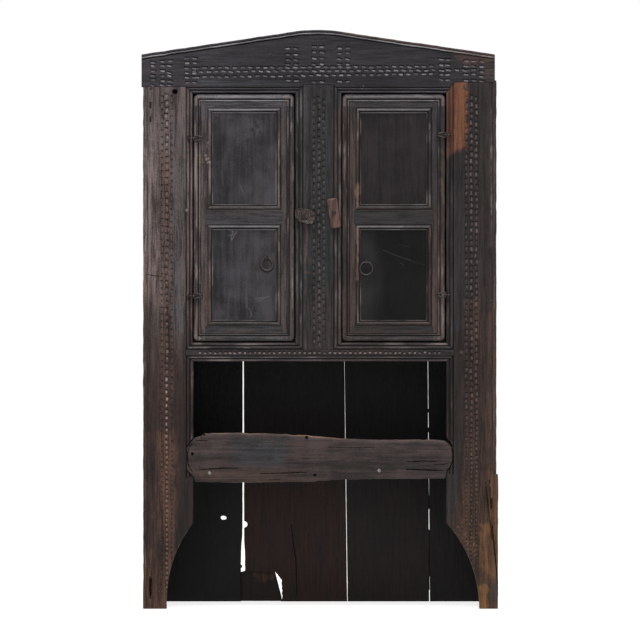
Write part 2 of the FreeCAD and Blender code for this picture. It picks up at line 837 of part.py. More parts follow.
def back_edges():
    """Left and right edges of the four back planks, each at the top and at the floor."""
    gaps = (
        (LEFT_GAP_SHARES, S.left_back_gap_top, S.left_back_gap_bottom),
        (MIDDLE_GAP_SHARES, S.middle_back_gap, S.middle_back_gap),
        (RIGHT_GAP_SHARES, S.right_back_gap, S.right_back_gap),
    )
    lefts, rights = [(-HALF_CASE, -HALF_CASE)], []
    for (top_share, floor_share), top_gap, floor_gap in gaps:
        top, low = HALF_CASE * top_share, HALF_CASE * floor_share
        rights.append((top - top_gap / 2, low - floor_gap / 2))
        lefts.append((top + top_gap / 2, low + floor_gap / 2))
    rights.append((HALF_CASE, HALF_CASE))
    return list(zip(lefts, rights))


def make_back_plank(label, edges, corner=None):
    """An upright plank of the back, with its lower left corner broken off where corner says so."""
    (left_top, left_low), (right_top, right_low) = edges
    body = new_body(label)
    board = new_sketch(body, "XZ_Plane", "board")
    outline = Outline().line((left_top, CASE_TOP))
    outline.line(*(corner or [(left_low, ZERO)]))
    outline.line((right_low, ZERO), (right_top, CASE_TOP))
    draw_outline(board, outline)
    pad(body, board, S.back_thickness, reverse=True)
    place(body, ZERO, BACK_FRONT, ZERO)
    return body


def make_back():
    """Four planks with open joints, a knot hole, a bite and a broken corner with its patch."""
    edges = back_edges()
    left = make_back_plank("back_plank_left", edges[0])
    hole = new_sketch(left, "XZ_Plane", "knot_hole")
    draw_circle(hole, (-S.knot_hole_reach, S.knot_hole_height), S.knot_hole_diameter)
    pocket(left, hole)

    edge_top, edge_low = edges[1][0]
    lean = (edge_top - edge_low) * (S.break_height / CASE_TOP)
    broken = [
        (edge_low + lean, S.break_height), (edge_low + S.break_width, S.break_height),
        (edge_low + S.break_width + S.break_slope, ZERO),
    ]
    centre = make_back_plank("back_plank_centre_left", edges[1], broken)
    bite = new_sketch(centre, "XZ_Plane", "bite")
    lean = (edge_top - edge_low) * (S.bite_height / CASE_TOP)
    draw_circle(bite, (edge_low + lean, S.bite_height), S.bite_radius * 2)
    pocket(centre, bite)
    make_back_plank("back_plank_centre_right", edges[2])
    make_back_plank("back_plank_right", edges[3])

    patch = new_body("back_patch_board")
    board = new_sketch(patch, "XZ_Plane", "board")
    edge = edge_low + S.break_width
    draw_outline(board, Outline().line(
        (edge_low - S.patch_overlap, ZERO), (edge + S.break_slope, ZERO),
        (edge + S.patch_slit / 2, S.patch_slit_height), (edge - S.patch_slit, S.patch_height),
        (edge_low - S.patch_overlap, S.patch_height),
    ))
    pad(patch, board, S.patch_thickness, reverse=True)
    place(patch, ZERO, REAR, ZERO)


def make_shelves():
    """Floor and shelf of the cupboard, the open shelf below, and the cleats under their ends."""
    tops = {
        "cupboard_floor": (S.floor_top_height, BOARDS_BACK),
        "cupboard_shelf": (S.shelf_top_height, BOARDS_BACK + S.shelf_setback),
        "lower_shelf": (S.lower_shelf_top_height, BOARDS_BACK),
    }
    for label, (top, front) in tops.items():
        bottom = top - S.shelf_thickness
        make_box(label, -SIDE_INSIDE, SIDE_INSIDE, front, BACK_FRONT, bottom, top)
        start = front + S.cleat_setback
        inner = SIDE_INSIDE - S.cleat_width
        low = bottom - S.cleat_height
        make_box(f"{label}_left_cleat", -SIDE_INSIDE, -inner, start, BACK_FRONT, low, bottom)
        make_box(f"{label}_right_cleat", inner, SIDE_INSIDE, start, BACK_FRONT, low, bottom)


def make_top():
    """Two boards lie across the sides and the back, behind the pediment."""
    joint = BOARDS_BACK + S.top_front_plank_width
    top = CASE_TOP + S.top_thickness
    make_box("top_front_board", -HALF_CASE, HALF_CASE, BOARDS_BACK, joint, CASE_TOP, top)
    make_box("top_rear_board", -HALF_CASE, HALF_CASE, joint + S.side_plank_gap, REAR, CASE_TOP, top)


# Doors

DOOR_SIDES = {"left": -1, "right": 1}
DOOR_WIDTHS = {"left": LEFT_DOOR_WIDTH, "right": RIGHT_DOOR_WIDTH}
GROOVE_BACK = S.panel_groove_front + S.panel_groove_width
BAND_LINE = S.door_member_width - PANEL_MOULDING_WIDTH


def place_in_door(piece, side, across=ZERO, deep=ZERO, up=ZERO):
    """Place a piece from the lower hinge corner of its door's face; across runs to the lock side."""
    corner = HALF_OPENING - S.door_side_gap
    place(piece, corner * side - across * side, FRONT + deep, DOOR_BOTTOM + up)


def grooved_edge(outline, edge, inward, leaving):
    """Panel moulding, then the groove that holds the panel, on one edge of a door's frame."""
    floor = edge + S.panel_groove_depth * inward
    groove = [
        (edge, S.panel_groove_front), (floor, S.panel_groove_front), (floor, GROOVE_BACK),
        (edge, GROOVE_BACK), (edge, S.door_thickness),
    ]
    if leaving:
        return outline.follow(panel_moulding(), edge, inward, leaving=True).line(*groove)
    return outline.line(*groove[::-1]).follow(panel_moulding(), edge, inward)


def door_rails():
    """Bottom, lock and top rail of a door: name, lower edge, height and which edges meet panels."""
    lock_low = S.lock_rail_height
    top_low = DOOR_HEIGHT - S.door_member_width
    return (
        ("bottom_rail", ZERO, S.door_bottom_rail_width, False, True),
        ("lock_rail", lock_low, S.lock_rail_width, True, True),
        ("top_rail", top_low, S.door_member_width, True, False),
    )


def make_door_stile(label, side, hinge_side):
    """An upright of a door's frame, full height, with a bead outside and a grooved moulding inside."""
    inward = -side if hinge_side else side
    body = new_body(label)
    section = new_sketch(body, "XY_Plane", "section")
    outline = Outline(lambda across, deep: (across * inward, deep))
    outline.line((ZERO, S.door_thickness)).follow(edge_bead(), ZERO, 1)
    draw_outline(section, grooved_edge(outline, S.door_member_width, -1, leaving=True))
    pad(body, section, DOOR_HEIGHT)

    recesses = new_sketch(body, "XZ_Plane", "rail_recesses")
    mortises = new_sketch(body, "YZ_Plane", "mortises", S.door_member_width * inward)
    play = S.joint_clearance
    sight = S.door_member_width
    beyond = sight + S.overrun
    band = PANEL_MOULDING_WIDTH
    for _, low, height, panel_below, panel_above in door_rails():
        high = low + height
        corners = [(beyond, low), (sight, low), (BAND_LINE, low + band)] if panel_below else [
            (beyond, low - S.overrun), (BAND_LINE, low - S.overrun)]
        corners += [(BAND_LINE, high - band), (sight, high), (beyond, high)] if panel_above else [
            (BAND_LINE, high + S.overrun), (beyond, high + S.overrun)]
        recess = Outline(lambda across, up: (across * inward, up)).line(*corners)
        draw_outline(recesses, recess)
        tenon_low, tenon_high = door_tenon(low, height)
        draw_outline(mortises, box_outline(
            S.panel_groove_front, GROOVE_BACK, tenon_low - play, tenon_high + play,
        ))
    pocket(body, recesses)
    pocket(body, mortises, PANEL_MOULDING_WIDTH + S.door_tenon_length + play, reverse=inward < 0)

    holes = new_sketch(body, "XZ_Plane", "peg_holes")
    for _, low, height, _, _ in door_rails():
        draw_circle(holes, (door_peg_place() * inward, low + height / 2), S.door_peg_diameter)
    pocket(body, holes)
    width = DOOR_WIDTHS["left" if side < 0 else "right"]
    place_in_door(body, side, ZERO if hinge_side else width)


def door_tenon(low, height):
    """Lower and upper cheek of a door rail's tenon."""
    inset = PANEL_MOULDING_WIDTH - S.door_tenon_shoulder
    return low + inset, low + height - inset


def door_peg_place():
    """Distance of a door peg from the outer edge of the stile."""
    return BAND_LINE - S.door_peg_inset


def make_door_rail(label, side, width, rail):
    """A rail of a door's frame, mitred at its mouldings, with a tenon at both ends."""
    name, low, height, panel_below, panel_above = rail
    body = new_body(label)
    section = new_sketch(body, "YZ_Plane", "section")
    outline = Outline(lambda up, deep: (deep, up))
    if panel_below:
        grooved_edge(outline, ZERO, 1, leaving=False)
    else:
        outline.line((ZERO, S.door_thickness)).follow(edge_bead(), ZERO, 1)
    if panel_above:
        grooved_edge(outline, height, -1, leaving=True)
    else:
        outline.follow(edge_bead(), height, -1, leaving=True).line((height, S.door_thickness))
    draw_outline(section, outline)
    shoulder = width / 2 - BAND_LINE
    pad(body, section, 2 * shoulder, both_ways=True)

    mitres = new_sketch(body, "XZ_Plane", "mitres")
    sight = width / 2 - S.door_member_width
    band = PANEL_MOULDING_WIDTH
    beyond = shoulder + S.overrun
    for end in (-1, 1):
        turn = mirrored(end)
        if panel_below:
            draw_outline(mitres, Outline(turn).line(
                (sight, -S.overrun), (beyond, -S.overrun), (beyond, band), (shoulder, band), (sight, ZERO),
            ))
        if panel_above:
            draw_outline(mitres, Outline(turn).line(
                (sight, height), (shoulder, height - band), (beyond, height - band),
                (beyond, height + S.overrun), (sight, height + S.overrun),
            ))
    pocket(body, mitres)

    tenon_low, tenon_high = door_tenon(ZERO, height)
    cheek = S.joint_clearance
    for end, end_name in ((-1, "left"), (1, "right")):
        tenon = new_sketch(body, "YZ_Plane", f"{end_name}_tenon", sight * end)
        draw_outline(tenon, box_outline(
            S.panel_groove_front + cheek, GROOVE_BACK - cheek, tenon_low, tenon_high,
        ))
        length = PANEL_MOULDING_WIDTH + S.door_tenon_length
        pad(body, tenon, length, reverse=end < 0)
    holes = new_sketch(body, "XZ_Plane", "peg_holes")
    for end in (-1, 1):
        draw_circle(holes, ((width / 2 - door_peg_place()) * end, height / 2), S.door_peg_diameter)
    pocket(body, holes)
    place_in_door(body, side, width / 2, ZERO, low)


def make_panel(label, side, width, below, above):
    """A panel, flat in front and bevelled behind down to the tongue that runs in the groove."""
    body = new_body(label)
    reach = S.panel_groove_depth - S.panel_play
    half = width / 2 - S.door_member_width + reach
    height = above - below + 2 * reach
    cheek = S.joint_clearance
    tongue = new_sketch(body, "XZ_Plane", "tongue")
    draw_outline(tongue, box_outline(-half, half, ZERO, height))
    thickness = S.panel_groove_width - 2 * cheek
    pad(body, tongue, thickness, reverse=True)
    field = new_sketch(body, "XZ_Plane", "field", -thickness)
    inset = reach + S.panel_bevel_inset
    draw_outline(field, box_outline(inset - half, half - inset, inset, height - inset))
    rise = S.panel_thickness - thickness
    slope = Size(-math.degrees(math.atan(S.panel_bevel_width.value / rise.value)),
                 f"(-1 * atan({S.panel_bevel_width.text} / {rise.text}))")
    raised = pad(body, field, rise, reverse=True)
    raised.setExpression("TaperAngle", slope.text)
    place_in_door(body, side, width / 2, S.panel_groove_front + cheek, below - reach)


def make_door(name):
    """Two stiles, three rails and two panels."""
    side = DOOR_SIDES[name]
    width = DOOR_WIDTHS[name]
    make_door_stile(f"{name}_door_hinge_stile", side, True)
    make_door_stile(f"{name}_door_lock_stile", side, False)
    rails = door_rails()
    for rail in rails:
        make_door_rail(f"{name}_door_{rail[0]}", side, width, rail)
    lower, lock, upper = rails
    make_panel(f"{name}_door_lower_panel", side, width, lower[1] + lower[2], lock[1])
    make_panel(f"{name}_door_upper_panel", side, width, lock[1] + lock[2], upper[1])


# Pegs and nails

def point_back(piece):
    """Turn a piece that is drawn upright so that its height runs towards the back."""
    piece.Placement = FreeCAD.Placement(Vector(), FreeCAD.Rotation(Vector(1, 0, 0), -90))


def make_peg(label, diameter, length, across, up):
    """A round peg, driven from the front face and cut off flush."""
    peg = doc.addObject("Part::Cylinder", label)
    peg.setExpression("Radius", (diameter / 2 - S.joint_clearance).text)
    peg.setExpression("Height", length.text)
    point_back(peg)
    place(peg, across, FRONT, up)
    return peg


def make_nail(label, diameters, head_height, length, turn=point_back):
    """A forged nail whose head stands on the face it is driven into; its point runs upwards."""
    shank_diameter, head_diameter = diameters
    shank = doc.addObject("Part::Cylinder", f"{label}_shank")
    shank.setExpression("Radius", (shank_diameter / 2).text)
    shank.setExpression("Height", (length + head_height / 2).text)
    place(shank, ZERO, ZERO, -head_height / 2)
    head = doc.addObject("Part::Cone", f"{label}_head")
    head.setExpression("Radius1", (head_diameter / 2 * HEAD_TOP_SHARE).text)
    head.setExpression("Radius2", (head_diameter / 2).text)
    head.setExpression("Height", head_height.text)
    place(head, ZERO, ZERO, -head_height)
    nail = doc.addObject("Part::Fuse", label)
    nail.Base = shank
    nail.Tool = head
    turn(nail)
    return nail


# Width of a nail head's top as a share of its rim.
HEAD_TOP_SHARE = 0.6


def point_front(piece):
    """Turn a piece that is drawn upright so that its height runs towards the front."""
    piece.Placement = FreeCAD.Placement(Vector(), FreeCAD.Rotation(Vector(1, 0, 0), 90))


def point_down(piece):
    piece.Placement = FreeCAD.Placement(Vector(), FreeCAD.Rotation(Vector(1, 0, 0), 180))


def gather(label, members):
    """Keep several solids of one kind as one piece."""
    group = doc.addObject("Part::Compound", label)
    group.Label = label
    group.Links = members
    pieces.append(group)


def make_frame_pegs():
    """Pegs of the front frame. The one at the head of the left stile is lost."""
    rail_peg = HALF_OPENING + S.stile_moulding_width + S.rail_peg_inset
    rail_level = S.rail_top_height - S.rail_width / 2
    head_peg = HALF_OPENING + S.pediment_tenon_inset
    head_level = S.right_shoulder_height - S.pediment_peg_drop
    places = ((-rail_peg, rail_level), (rail_peg, rail_level), (head_peg, head_level))
    gather("frame_pegs", [
        make_peg(f"frame_peg_{index}", S.peg_diameter, S.front_thickness, across, up)
        for index, (across, up) in enumerate(places)
    ])


def make_door_pegs(name):
    """Two pegs hold each rail of a door."""
    side = DOOR_SIDES[name]
    corner = HALF_OPENING - S.door_side_gap
    pegs = []
    for rail, low, height, _, _ in door_rails():
        for end, reach in (("outer", door_peg_place()), ("inner", DOOR_WIDTHS[name] - door_peg_place())):
            pegs.append(make_peg(
                f"{name}_{rail}_{end}_peg", S.door_peg_diameter, S.door_thickness,
                (corner - reach) * side, DOOR_BOTTOM + low + height / 2,
            ))
    gather(f"{name}_door_pegs", pegs)


NAIL = (S.nail_diameter, S.nail_head_diameter)


def make_slat_nails():
    """Two nails hold the slat to the front edge of the shelf behind it."""
    nails = []
    for index, (across, up) in enumerate(SLAT_NAIL_SHARES):
        nail = make_nail(f"slat_nail_{index}", NAIL, S.nail_head_height, S.nail_length)
        place(nail, HALF_OPENING * across, FRONT, S.slat_bottom_height + S.slat_width * up)
        nails.append(nail)
    gather("slat_nails", nails)


def make_back_nails():
    """Nails from behind: two in every plank at each shelf, and four in the patch."""
    edge = S.nail_edge_distance
    side_middle = S.side_thickness / 2
    planks = back_edges()
    places = []
    for index, ((left, _), (right, _)) in enumerate(planks):
        left = left + (side_middle if index == 0 else edge)
        right = right - (side_middle if index == len(planks) - 1 else edge)
        for top in (S.floor_top_height, S.shelf_top_height, S.lower_shelf_top_height):
            places += [(left, top - S.shelf_thickness / 2), (right, top - S.shelf_thickness / 2)]
    nails = []
    for index, (across, up) in enumerate(places):
        nail = make_nail(f"back_nail_{index}", NAIL, S.nail_head_height, S.nail_length, point_front)
        place(nail, across, REAR, up)
        nails.append(nail)
    low = planks[1][0][1]
    over = S.patch_overlap / 2
    lap = (S.patch_height + S.break_height) / 2
    patch_places = (
        (low - over, S.break_height / 2), (low - over, lap), (low + edge, lap),
        (low + S.break_width - edge, lap),
    )
    for index, (across, up) in enumerate(patch_places):
        nail = make_nail(
            f"patch_nail_{index}", NAIL, S.nail_head_height, S.patch_nail_length, point_front)
        place(nail, across, REAR + S.patch_thickness, up)
        nails.append(nail)
    gather("back_nails", nails)


def make_top_nails():
    """Nails down through the top boards into the upper ends of the side planks."""
    edge = S.nail_edge_distance
    joint = BOARDS_BACK + S.side_front_plank_width
    depths = (BOARDS_BACK + edge, joint - edge, joint + edge, BACK_FRONT - edge)
    nails = []
    for side in (-1, 1):
        for index, deep in enumerate(depths):
            nail = make_nail(
                f"top_nail_{side}_{index}".replace("-", "m"), NAIL, S.nail_head_height,
                S.nail_length, point_down)
            place(nail, (HALF_CASE - S.side_thickness / 2) * side, deep, CASE_TOP + S.top_thickness)
            nails.append(nail)
    gather("top_nails", nails)


# Bent wire: hinges and pulls

# How far the volume of a bent wire may be from its section times its length.
WIRE_TOLERANCE_SHARE = 0.02
# Bend of a pull's eye as a share of its wire.
PULL_BEND_SHARE = 0.75


def new_wirework(label, shapes):
    """Keep bent wires as one piece. They run in space, where no sketch can hold their path."""
    piece = doc.addObject("Part::Feature", label)
    piece.Label = label
    piece.Shape = shapes[0] if len(shapes) == 1 else Part.makeCompound(shapes)
    pieces.append(piece)


def bent_wire(points, bend_radius, wire):
    """A round wire along straight runs, with a tangent arc of bend_radius at every corner."""
    edges = []
    start = points[0]
    for before, corner, after in zip(points, points[1:], points[2:]):
        incoming = (corner - before).normalize()
        outgoing = (after - corner).normalize()
        turn = incoming.getAngle(outgoing)
        setback = bend_radius * math.tan(turn / 2)
        arc_start = corner - incoming * setback
        arc_end = corner + outgoing * setback
        inward = (outgoing - incoming).normalize()
        rise = bend_radius / math.cos(turn / 2) - bend_radius
        edges.append(Part.LineSegment(start, arc_start).toShape())
        edges.append(Part.Arc(arc_start, corner + inward * rise, arc_end).toShape())
        start = arc_end
    edges.append(Part.LineSegment(start, points[-1]).toShape())
    path = Part.Wire(edges)
    section = Part.Wire([Part.makeCircle(wire / 2, points[0], points[1] - points[0])])
    tube = path.makePipeShell([section], True, False)
    expected = math.pi * wire * wire / 4 * path.Length
    if not tube.isValid() or abs(tube.Volume - expected) > expected * WIRE_TOLERANCE_SHARE:
        raise RuntimeError("A bent wire came out with the wrong volume")
    return tube


def hinge_axis(side, height):
    """A point on the upright axis, in front of the gap between stile and door."""
    across = (HALF_OPENING - S.door_side_gap / 2) * side
    return Vector(across.value, (FRONT - S.hinge_reach).value, height.value)


def make_stile_eyes(name):
    """Two rings round the hinge's axis, each with a shank clinched behind the stile."""
    side = DOOR_SIDES[name]
    wire = S.hinge_wire.value
    ring_radius = S.hinge_ring_radius.value
    inset = S.hinge_stile_inset.value * side
    behind = S.hinge_reach.value + S.front_thickness.value + wire / 2
    eyes = []
    for height in HINGE_HEIGHTS[side]:
        centre = hinge_axis(side, height)
        ring = Part.makeTorus(ring_radius, wire / 2, centre, Vector(0, 0, 1))
        shank = bent_wire([
            centre + Vector(ring_radius * side, 0, 0), centre + Vector(inset, 0, 0),
            centre + Vector(inset, behind, 0), centre + Vector(inset, behind, -S.hinge_clinch.value),
        ], S.hinge_bend_radius.value, wire)
        eyes.append(ring.fuse(shank).removeSplitter())
    new_wirework(f"{name}_stile_hinge_eyes", eyes)


def mirrored_down(upper):
    """The other half of a wire's path, the same bends below the level of its middle."""
    return [Vector(v.x, v.y, -v.z) for v in reversed(upper)]


def make_door_eyes(name):
    """Two bent wires in the edge of one door. The bight of each is the hinge's pin."""
    side = DOOR_SIDES[name]
    wire = S.hinge_wire.value
    half = S.hinge_loop_height.value / 2
    head = -S.hinge_loop_head.value * side
    shank = -S.hinge_loop_length.value * side
    leg = wire / 2 + S.joint_clearance.value
    behind = S.hinge_reach.value + S.door_thickness.value + wire / 2
    upper = [
        Vector(shank, behind, leg + S.hinge_clinch.value), Vector(shank, behind, leg),
        Vector(shank, 0, leg), Vector(head, 0, half), Vector(0, 0, half),
    ]
    path = upper + mirrored_down(upper)
    eyes = []
    for height in HINGE_HEIGHTS[side]:
        centre = hinge_axis(side, height)
        eyes.append(bent_wire([centre + v for v in path], S.hinge_bend_radius.value, wire))
    new_wirework(f"{name}_door_hinge_eyes", eyes)


def pull_place(name):
    """Middle of the eye that a door's ring hangs in: across, depth and height."""
    inset, height = {
        "left": (S.left_pull_inset, S.left_pull_height),
        "right": (S.right_pull_inset, S.right_pull_height),
    }[name]
    lock_edge = HALF_OPENING - S.door_side_gap - DOOR_WIDTHS[name]
    return (lock_edge + inset) * DOOR_SIDES[name], FRONT - S.ring_stand, height


def make_pull_eye(name):
    """A wire eye whose two legs pass through the door's lower panel and are clinched behind it."""
    wire = S.pull_eye_wire.value
    eye = S.pull_eye_radius.value
    leg = wire / 2 + S.joint_clearance.value
    panel_back = S.ring_stand + S.panel_groove_front + S.joint_clearance + S.panel_thickness
    behind = panel_back.value + wire / 2
    upper = [
        Vector(0, behind, leg + S.pull_eye_clinch.value), Vector(0, behind, leg),
        Vector(0, eye + wire, leg), Vector(0, eye / 2, eye), Vector(0, -eye, eye),
    ]
    centre = Vector(*[size.value for size in pull_place(name)])
    path = [centre + v for v in upper + mirrored_down(upper)]
    new_wirework(f"{name}_pull_eye", [bent_wire(path, wire * PULL_BEND_SHARE, wire)])


def make_left_ring():
    """A pull drawn out to a blunt point where it hangs in its eye."""
    body = new_body("left_ring_pull")
    ring, tip, nose = S.left_ring_radius, S.left_ring_tip, S.left_ring_nose
    # Both arcs share two tangent lines, which lean by the same slope from the upright.
    spread = S.left_ring_tip - nose
    lean = (ring - nose) / spread
    rise = Size(math.sqrt(1 - lean.value ** 2), f"sqrt(1 - {lean.text} ^ 2)")
    top = (nose * rise, -nose + nose * lean)
    side = (ring * rise, -tip + ring * lean)
    path = new_sketch(body, "XZ_Plane", "path")
    outline = Outline().line((-side[0], side[1]), (-top[0], top[1]))
    outline.arc(ZERO, ZERO, (-top[0], ZERO), nose).arc(top[0], top[1], (top[0], ZERO), nose)
    outline.line((side[0], side[1]))
    outline.arc(ZERO, -tip - ring, (ring * 2, -tip - ring), ring)
    outline.arc(-side[0], side[1], (-ring * 2, -tip - ring), ring)
    del outline.points[-1]
    draw_outline(path, outline)
    section = new_sketch(body, "YZ_Plane", "section")
    draw_circle(section, (ZERO, -tip - ring), S.ring_wire)
    pipe = body.newObject("PartDesign::AdditivePipe", "left_ring_wire")
    pipe.Profile = section
    pipe.Spine = (path, [f"Edge{index}" for index in range(1, len(outline.points) + 1)])
    across, deep, up = pull_place("left")
    place(body, across, deep, up - S.ring_seat)


def make_right_ring():
    """A plain round pull."""
    ring = doc.addObject("Part::Torus", "right_ring_pull")
    ring.Label = "right_ring_pull"
    ring.setExpression("Radius1", S.right_ring_radius.text)
    ring.setExpression("Radius2", (S.ring_wire / 2).text)
    point_back(ring)
    across, deep, up = pull_place("right")
    place(ring, across, deep, up - S.ring_seat - S.right_ring_radius)
    pieces.append(ring)


# Turn buttons

def make_button(name, outline, across, up, rest_degrees):
    """A block that turns on its nail in front of the muntin, with its front edges taken off."""
    body = new_body(f"{name}_turn_button")
    block = new_sketch(body, "XZ_Plane", "block")
    draw_outline(block, outline)
    sharp = pad(body, block, S.button_thickness, reverse=True)
    doc.recompute()
    front = [
        f"Face{index}" for index, face in enumerate(sharp.Shape.Faces, start=1)
        if face.BoundBox.YMax < S.joint_clearance.value
    ]
    chamfer = body.newObject("PartDesign::Chamfer", f"{name}_button_chamfer")
    chamfer.Base = (sharp, front)
    chamfer.setExpression("Size", S.button_bevel.text)
    hole = new_sketch(body, "XZ_Plane", "nail_hole")
    draw_circle(hole, (ZERO, ZERO), S.button_nail_diameter + 2 * S.button_nail_clearance)
    pocket(body, hole)
    body.Placement = FreeCAD.Placement(Vector(), FreeCAD.Rotation(Vector(0, 1, 0), -rest_degrees))
    place(body, across, FRONT - S.button_play - S.button_thickness, up)


def left_button_outline():
    outline = Outline()
    for across, up in LEFT_BUTTON_SHARES:
        reach = S.left_button_near if across < 0 else S.left_button_far
        rise = S.left_button_below if up < 0 else S.left_button_above
        outline.line((reach * across, rise * up))
    return outline


def right_button_outline():
    """A bar with its four corners cut off."""
    half, top, low = S.right_button_width / 2, S.right_button_near, -S.right_button_far
    cut = S.right_button_bevel
    return Outline().line(
        (-half, low + cut), (cut - half, low), (half - cut, low), (half, low + cut),
        (half, top - cut), (half - cut, top), (cut - half, top), (-half, top - cut),
    )


def button_places():
    return {
        "left": (MUNTIN_LEFT + S.left_button_inset, S.left_button_height),
        "right": (MUNTIN_RIGHT - S.right_button_inset, S.right_button_height),
    }


def make_buttons():
    places = button_places()
    make_button("left", left_button_outline(), *places["left"], 0)
    make_button("right", right_button_outline(), *places["right"], BUTTON_REST_DEGREES)
    nails = []
    for name, (across, up) in places.items():
        under_head = 2 * S.button_play + S.button_thickness
        nail = make_nail(
            f"{name}_button_nail", (S.button_nail_diameter, S.button_nail_head_diameter),
            S.button_nail_head_height, under_head + S.button_nail_grip)
        place(nail, across, FRONT - under_head, up)
        nails.append(nail)
    gather("button_nails", nails)


def make_case():
    """Front frame, sides, back, shelves and top, with what holds them."""
    make_pediment()
    make_stile("left_stile", -1, S.left_foot_width, ZERO)
    make_stile("right_stile", 1, S.right_foot_width, S.right_foot_flare)
    make_muntin()
    make_middle_rail()
    make_slat()
    make_frame_pegs()
    for name, side in DOOR_SIDES.items():
        make_side(side, name)
    make_back()
    make_shelves()
    make_top()
    make_slat_nails()
    make_back_nails()
    make_top_nails()


def make_moving_parts():
    """Doors with their hinges and pulls, and the turn buttons."""
    for name in DOOR_SIDES:
        make_door(name)
        make_door_pegs(name)
        make_stile_eyes(name)
        make_door_eyes(name)
        make_pull_eye(name)
    make_left_ring()
    make_right_ring()
    make_buttons()


def check_and_write():
    """Stop on any failed feature, cut that removes nothing or broken solid; then write the files."""
    doc.recompute()
    failed = [o.Name for o in doc.Objects if {"Invalid", "Error"} & set(o.State)]
    if failed:
        raise RuntimeError("Failed features: " + ", ".join(failed))
    for cut in cuts:
        if cut.BaseFeature.Shape.Volume - cut.Shape.Volume < S.joint_clearance.value:
            raise RuntimeError("A cut took nothing away: " + cut.Name)
    os.makedirs("parts", exist_ok=True)
    for piece in pieces:
        shape = piece.Shape
        if shape.isNull() or not shape.isValid() or not shape.Solids:
            raise RuntimeError("A solid is broken: " + piece.Label)
        shape.exportStep(f"parts/{piece.Label}.step")


os.makedirs("parts", exist_ok=True)
make_case()
make_moving_parts()
check_and_write()
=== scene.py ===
import json
import math

import bmesh
import bpy
import numpy as np
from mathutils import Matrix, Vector


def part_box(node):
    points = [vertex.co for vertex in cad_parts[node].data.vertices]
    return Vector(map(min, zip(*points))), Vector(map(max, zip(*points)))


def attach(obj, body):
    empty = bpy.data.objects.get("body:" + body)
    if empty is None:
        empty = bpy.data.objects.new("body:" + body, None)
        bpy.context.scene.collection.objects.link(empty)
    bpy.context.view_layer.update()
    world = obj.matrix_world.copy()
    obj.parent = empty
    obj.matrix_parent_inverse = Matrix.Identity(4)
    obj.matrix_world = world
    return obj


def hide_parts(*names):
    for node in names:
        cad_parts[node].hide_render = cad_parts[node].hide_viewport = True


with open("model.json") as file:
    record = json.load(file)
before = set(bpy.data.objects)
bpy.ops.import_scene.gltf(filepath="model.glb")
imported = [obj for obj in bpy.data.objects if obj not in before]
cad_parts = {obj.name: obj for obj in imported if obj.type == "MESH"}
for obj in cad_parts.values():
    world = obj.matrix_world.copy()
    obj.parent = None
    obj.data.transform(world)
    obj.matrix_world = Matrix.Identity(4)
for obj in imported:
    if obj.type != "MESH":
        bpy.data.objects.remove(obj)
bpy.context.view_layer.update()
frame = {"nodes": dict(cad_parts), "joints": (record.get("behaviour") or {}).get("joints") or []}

# The boards of the front, the back and the case are built anew here as fine grids, with their
# mouldings, gouge marks, cracks and wear cut as real shapes. Sizes are in millimetres until a mesh
# is made.

MM = 0.001
PHOTO_PIXEL = 2.9
PHOTO_CENTRE = 319.75
PHOTO_FLOOR = 609


def across_at(pixel):
    """Place across the front, in millimetres, of a column of the photograph."""
    return (pixel - PHOTO_CENTRE) * PHOTO_PIXEL


def height_at(pixel):
    """Height on the front, in millimetres, of a row of the photograph."""
    return (PHOTO_FLOOR - pixel) * PHOTO_PIXEL


def box_mm(node):
    """Lowest and highest corner of a node, in millimetres."""
    low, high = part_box(node)
    return [value / MM for value in low], [value / MM for value in high]


# Places read from the frame
STILE_LOW, STILE_HIGH = box_mm("left_stile")
FRONT = STILE_LOW[1]
BOARD_THICKNESS = STILE_HIGH[1] - STILE_LOW[1]
HALF_OPENING = -STILE_HIGH[0]
STILE_WIDTH = STILE_HIGH[0] - STILE_LOW[0]
SHOULDERS = {-1: STILE_HIGH[2], 1: box_mm("right_stile")[1][2]}
FLARE = box_mm("right_stile")[1][0] - HALF_OPENING - STILE_WIDTH
MUNTIN_LEFT = box_mm("centre_muntin")[0][0]
MUNTIN_RIGHT = box_mm("centre_muntin")[1][0]
RAIL_LOW, RAIL_HIGH = box_mm("middle_rail")[0][2], box_mm("middle_rail")[1][2]
PEDIMENT_LEFT, PEDIMENT_RIGHT = box_mm("pediment_board")[0][0], box_mm("pediment_board")[1][0]
SLAT_LOW = box_mm("lower_slat")[0][2]
BACK_FRONT = box_mm("back_plank_left")[0][1]
BACK_THICKNESS = box_mm("back_plank_left")[1][1] - BACK_FRONT

# Forms of the front, the same as those of the solids
HEAD = 1496
MUNTIN_SHOULDER = 1520
STILE_BAND = 22
MUNTIN_BAND = 23
RAIL_TOP_BAND = 20
RAIL_LOW_BAND = 17
BEAD_DEPTH = 3
QUIRK = 2
EDGE_BEAD = 12
EDGE_BEAD_DEPTH = 1.6
OUTER_FALL = 0.35
EDGE_QUIRK = 3
GABLE_SHIFT = 9
GABLE_ENDS = 113
GABLE_RISE = 76
PEAK_ROUNDING = 59
RAKE_BEAD = 7
RAKE_SMALL_BEAD = 6
RAKE_GROOVE = 3
LEG_ARCH_HEIGHT = 250
LEG_ARCH_RADIUS = 376
FOOT_WIDTHS = {-1: 69, 1: 50}
NOTCH_DEPTH = 21
NOTCH_TOP, NOTCH_UPPER = 498, 470
NOTCH_LOWER = {-1: 403, 1: 426}
NOTCH_BOTTOM = {-1: 380, 1: 391}
# How far the left stile and door meet to the left of the solids' gap
HINGE_SIDE_SHIFT = 2.5
# Headings of gouge marks
DOWN = -math.pi / 2
LEFTWARDS = math.pi

# Spacing of the grids
FINE = 1.3
ROW_STEP = 1.5
BACK_ROW_STEP = 3
CASE_ROW_STEP = 4
COARSE = 5
# Points closer than this are one point.
MERGE = 0.04


# Repeatable noise

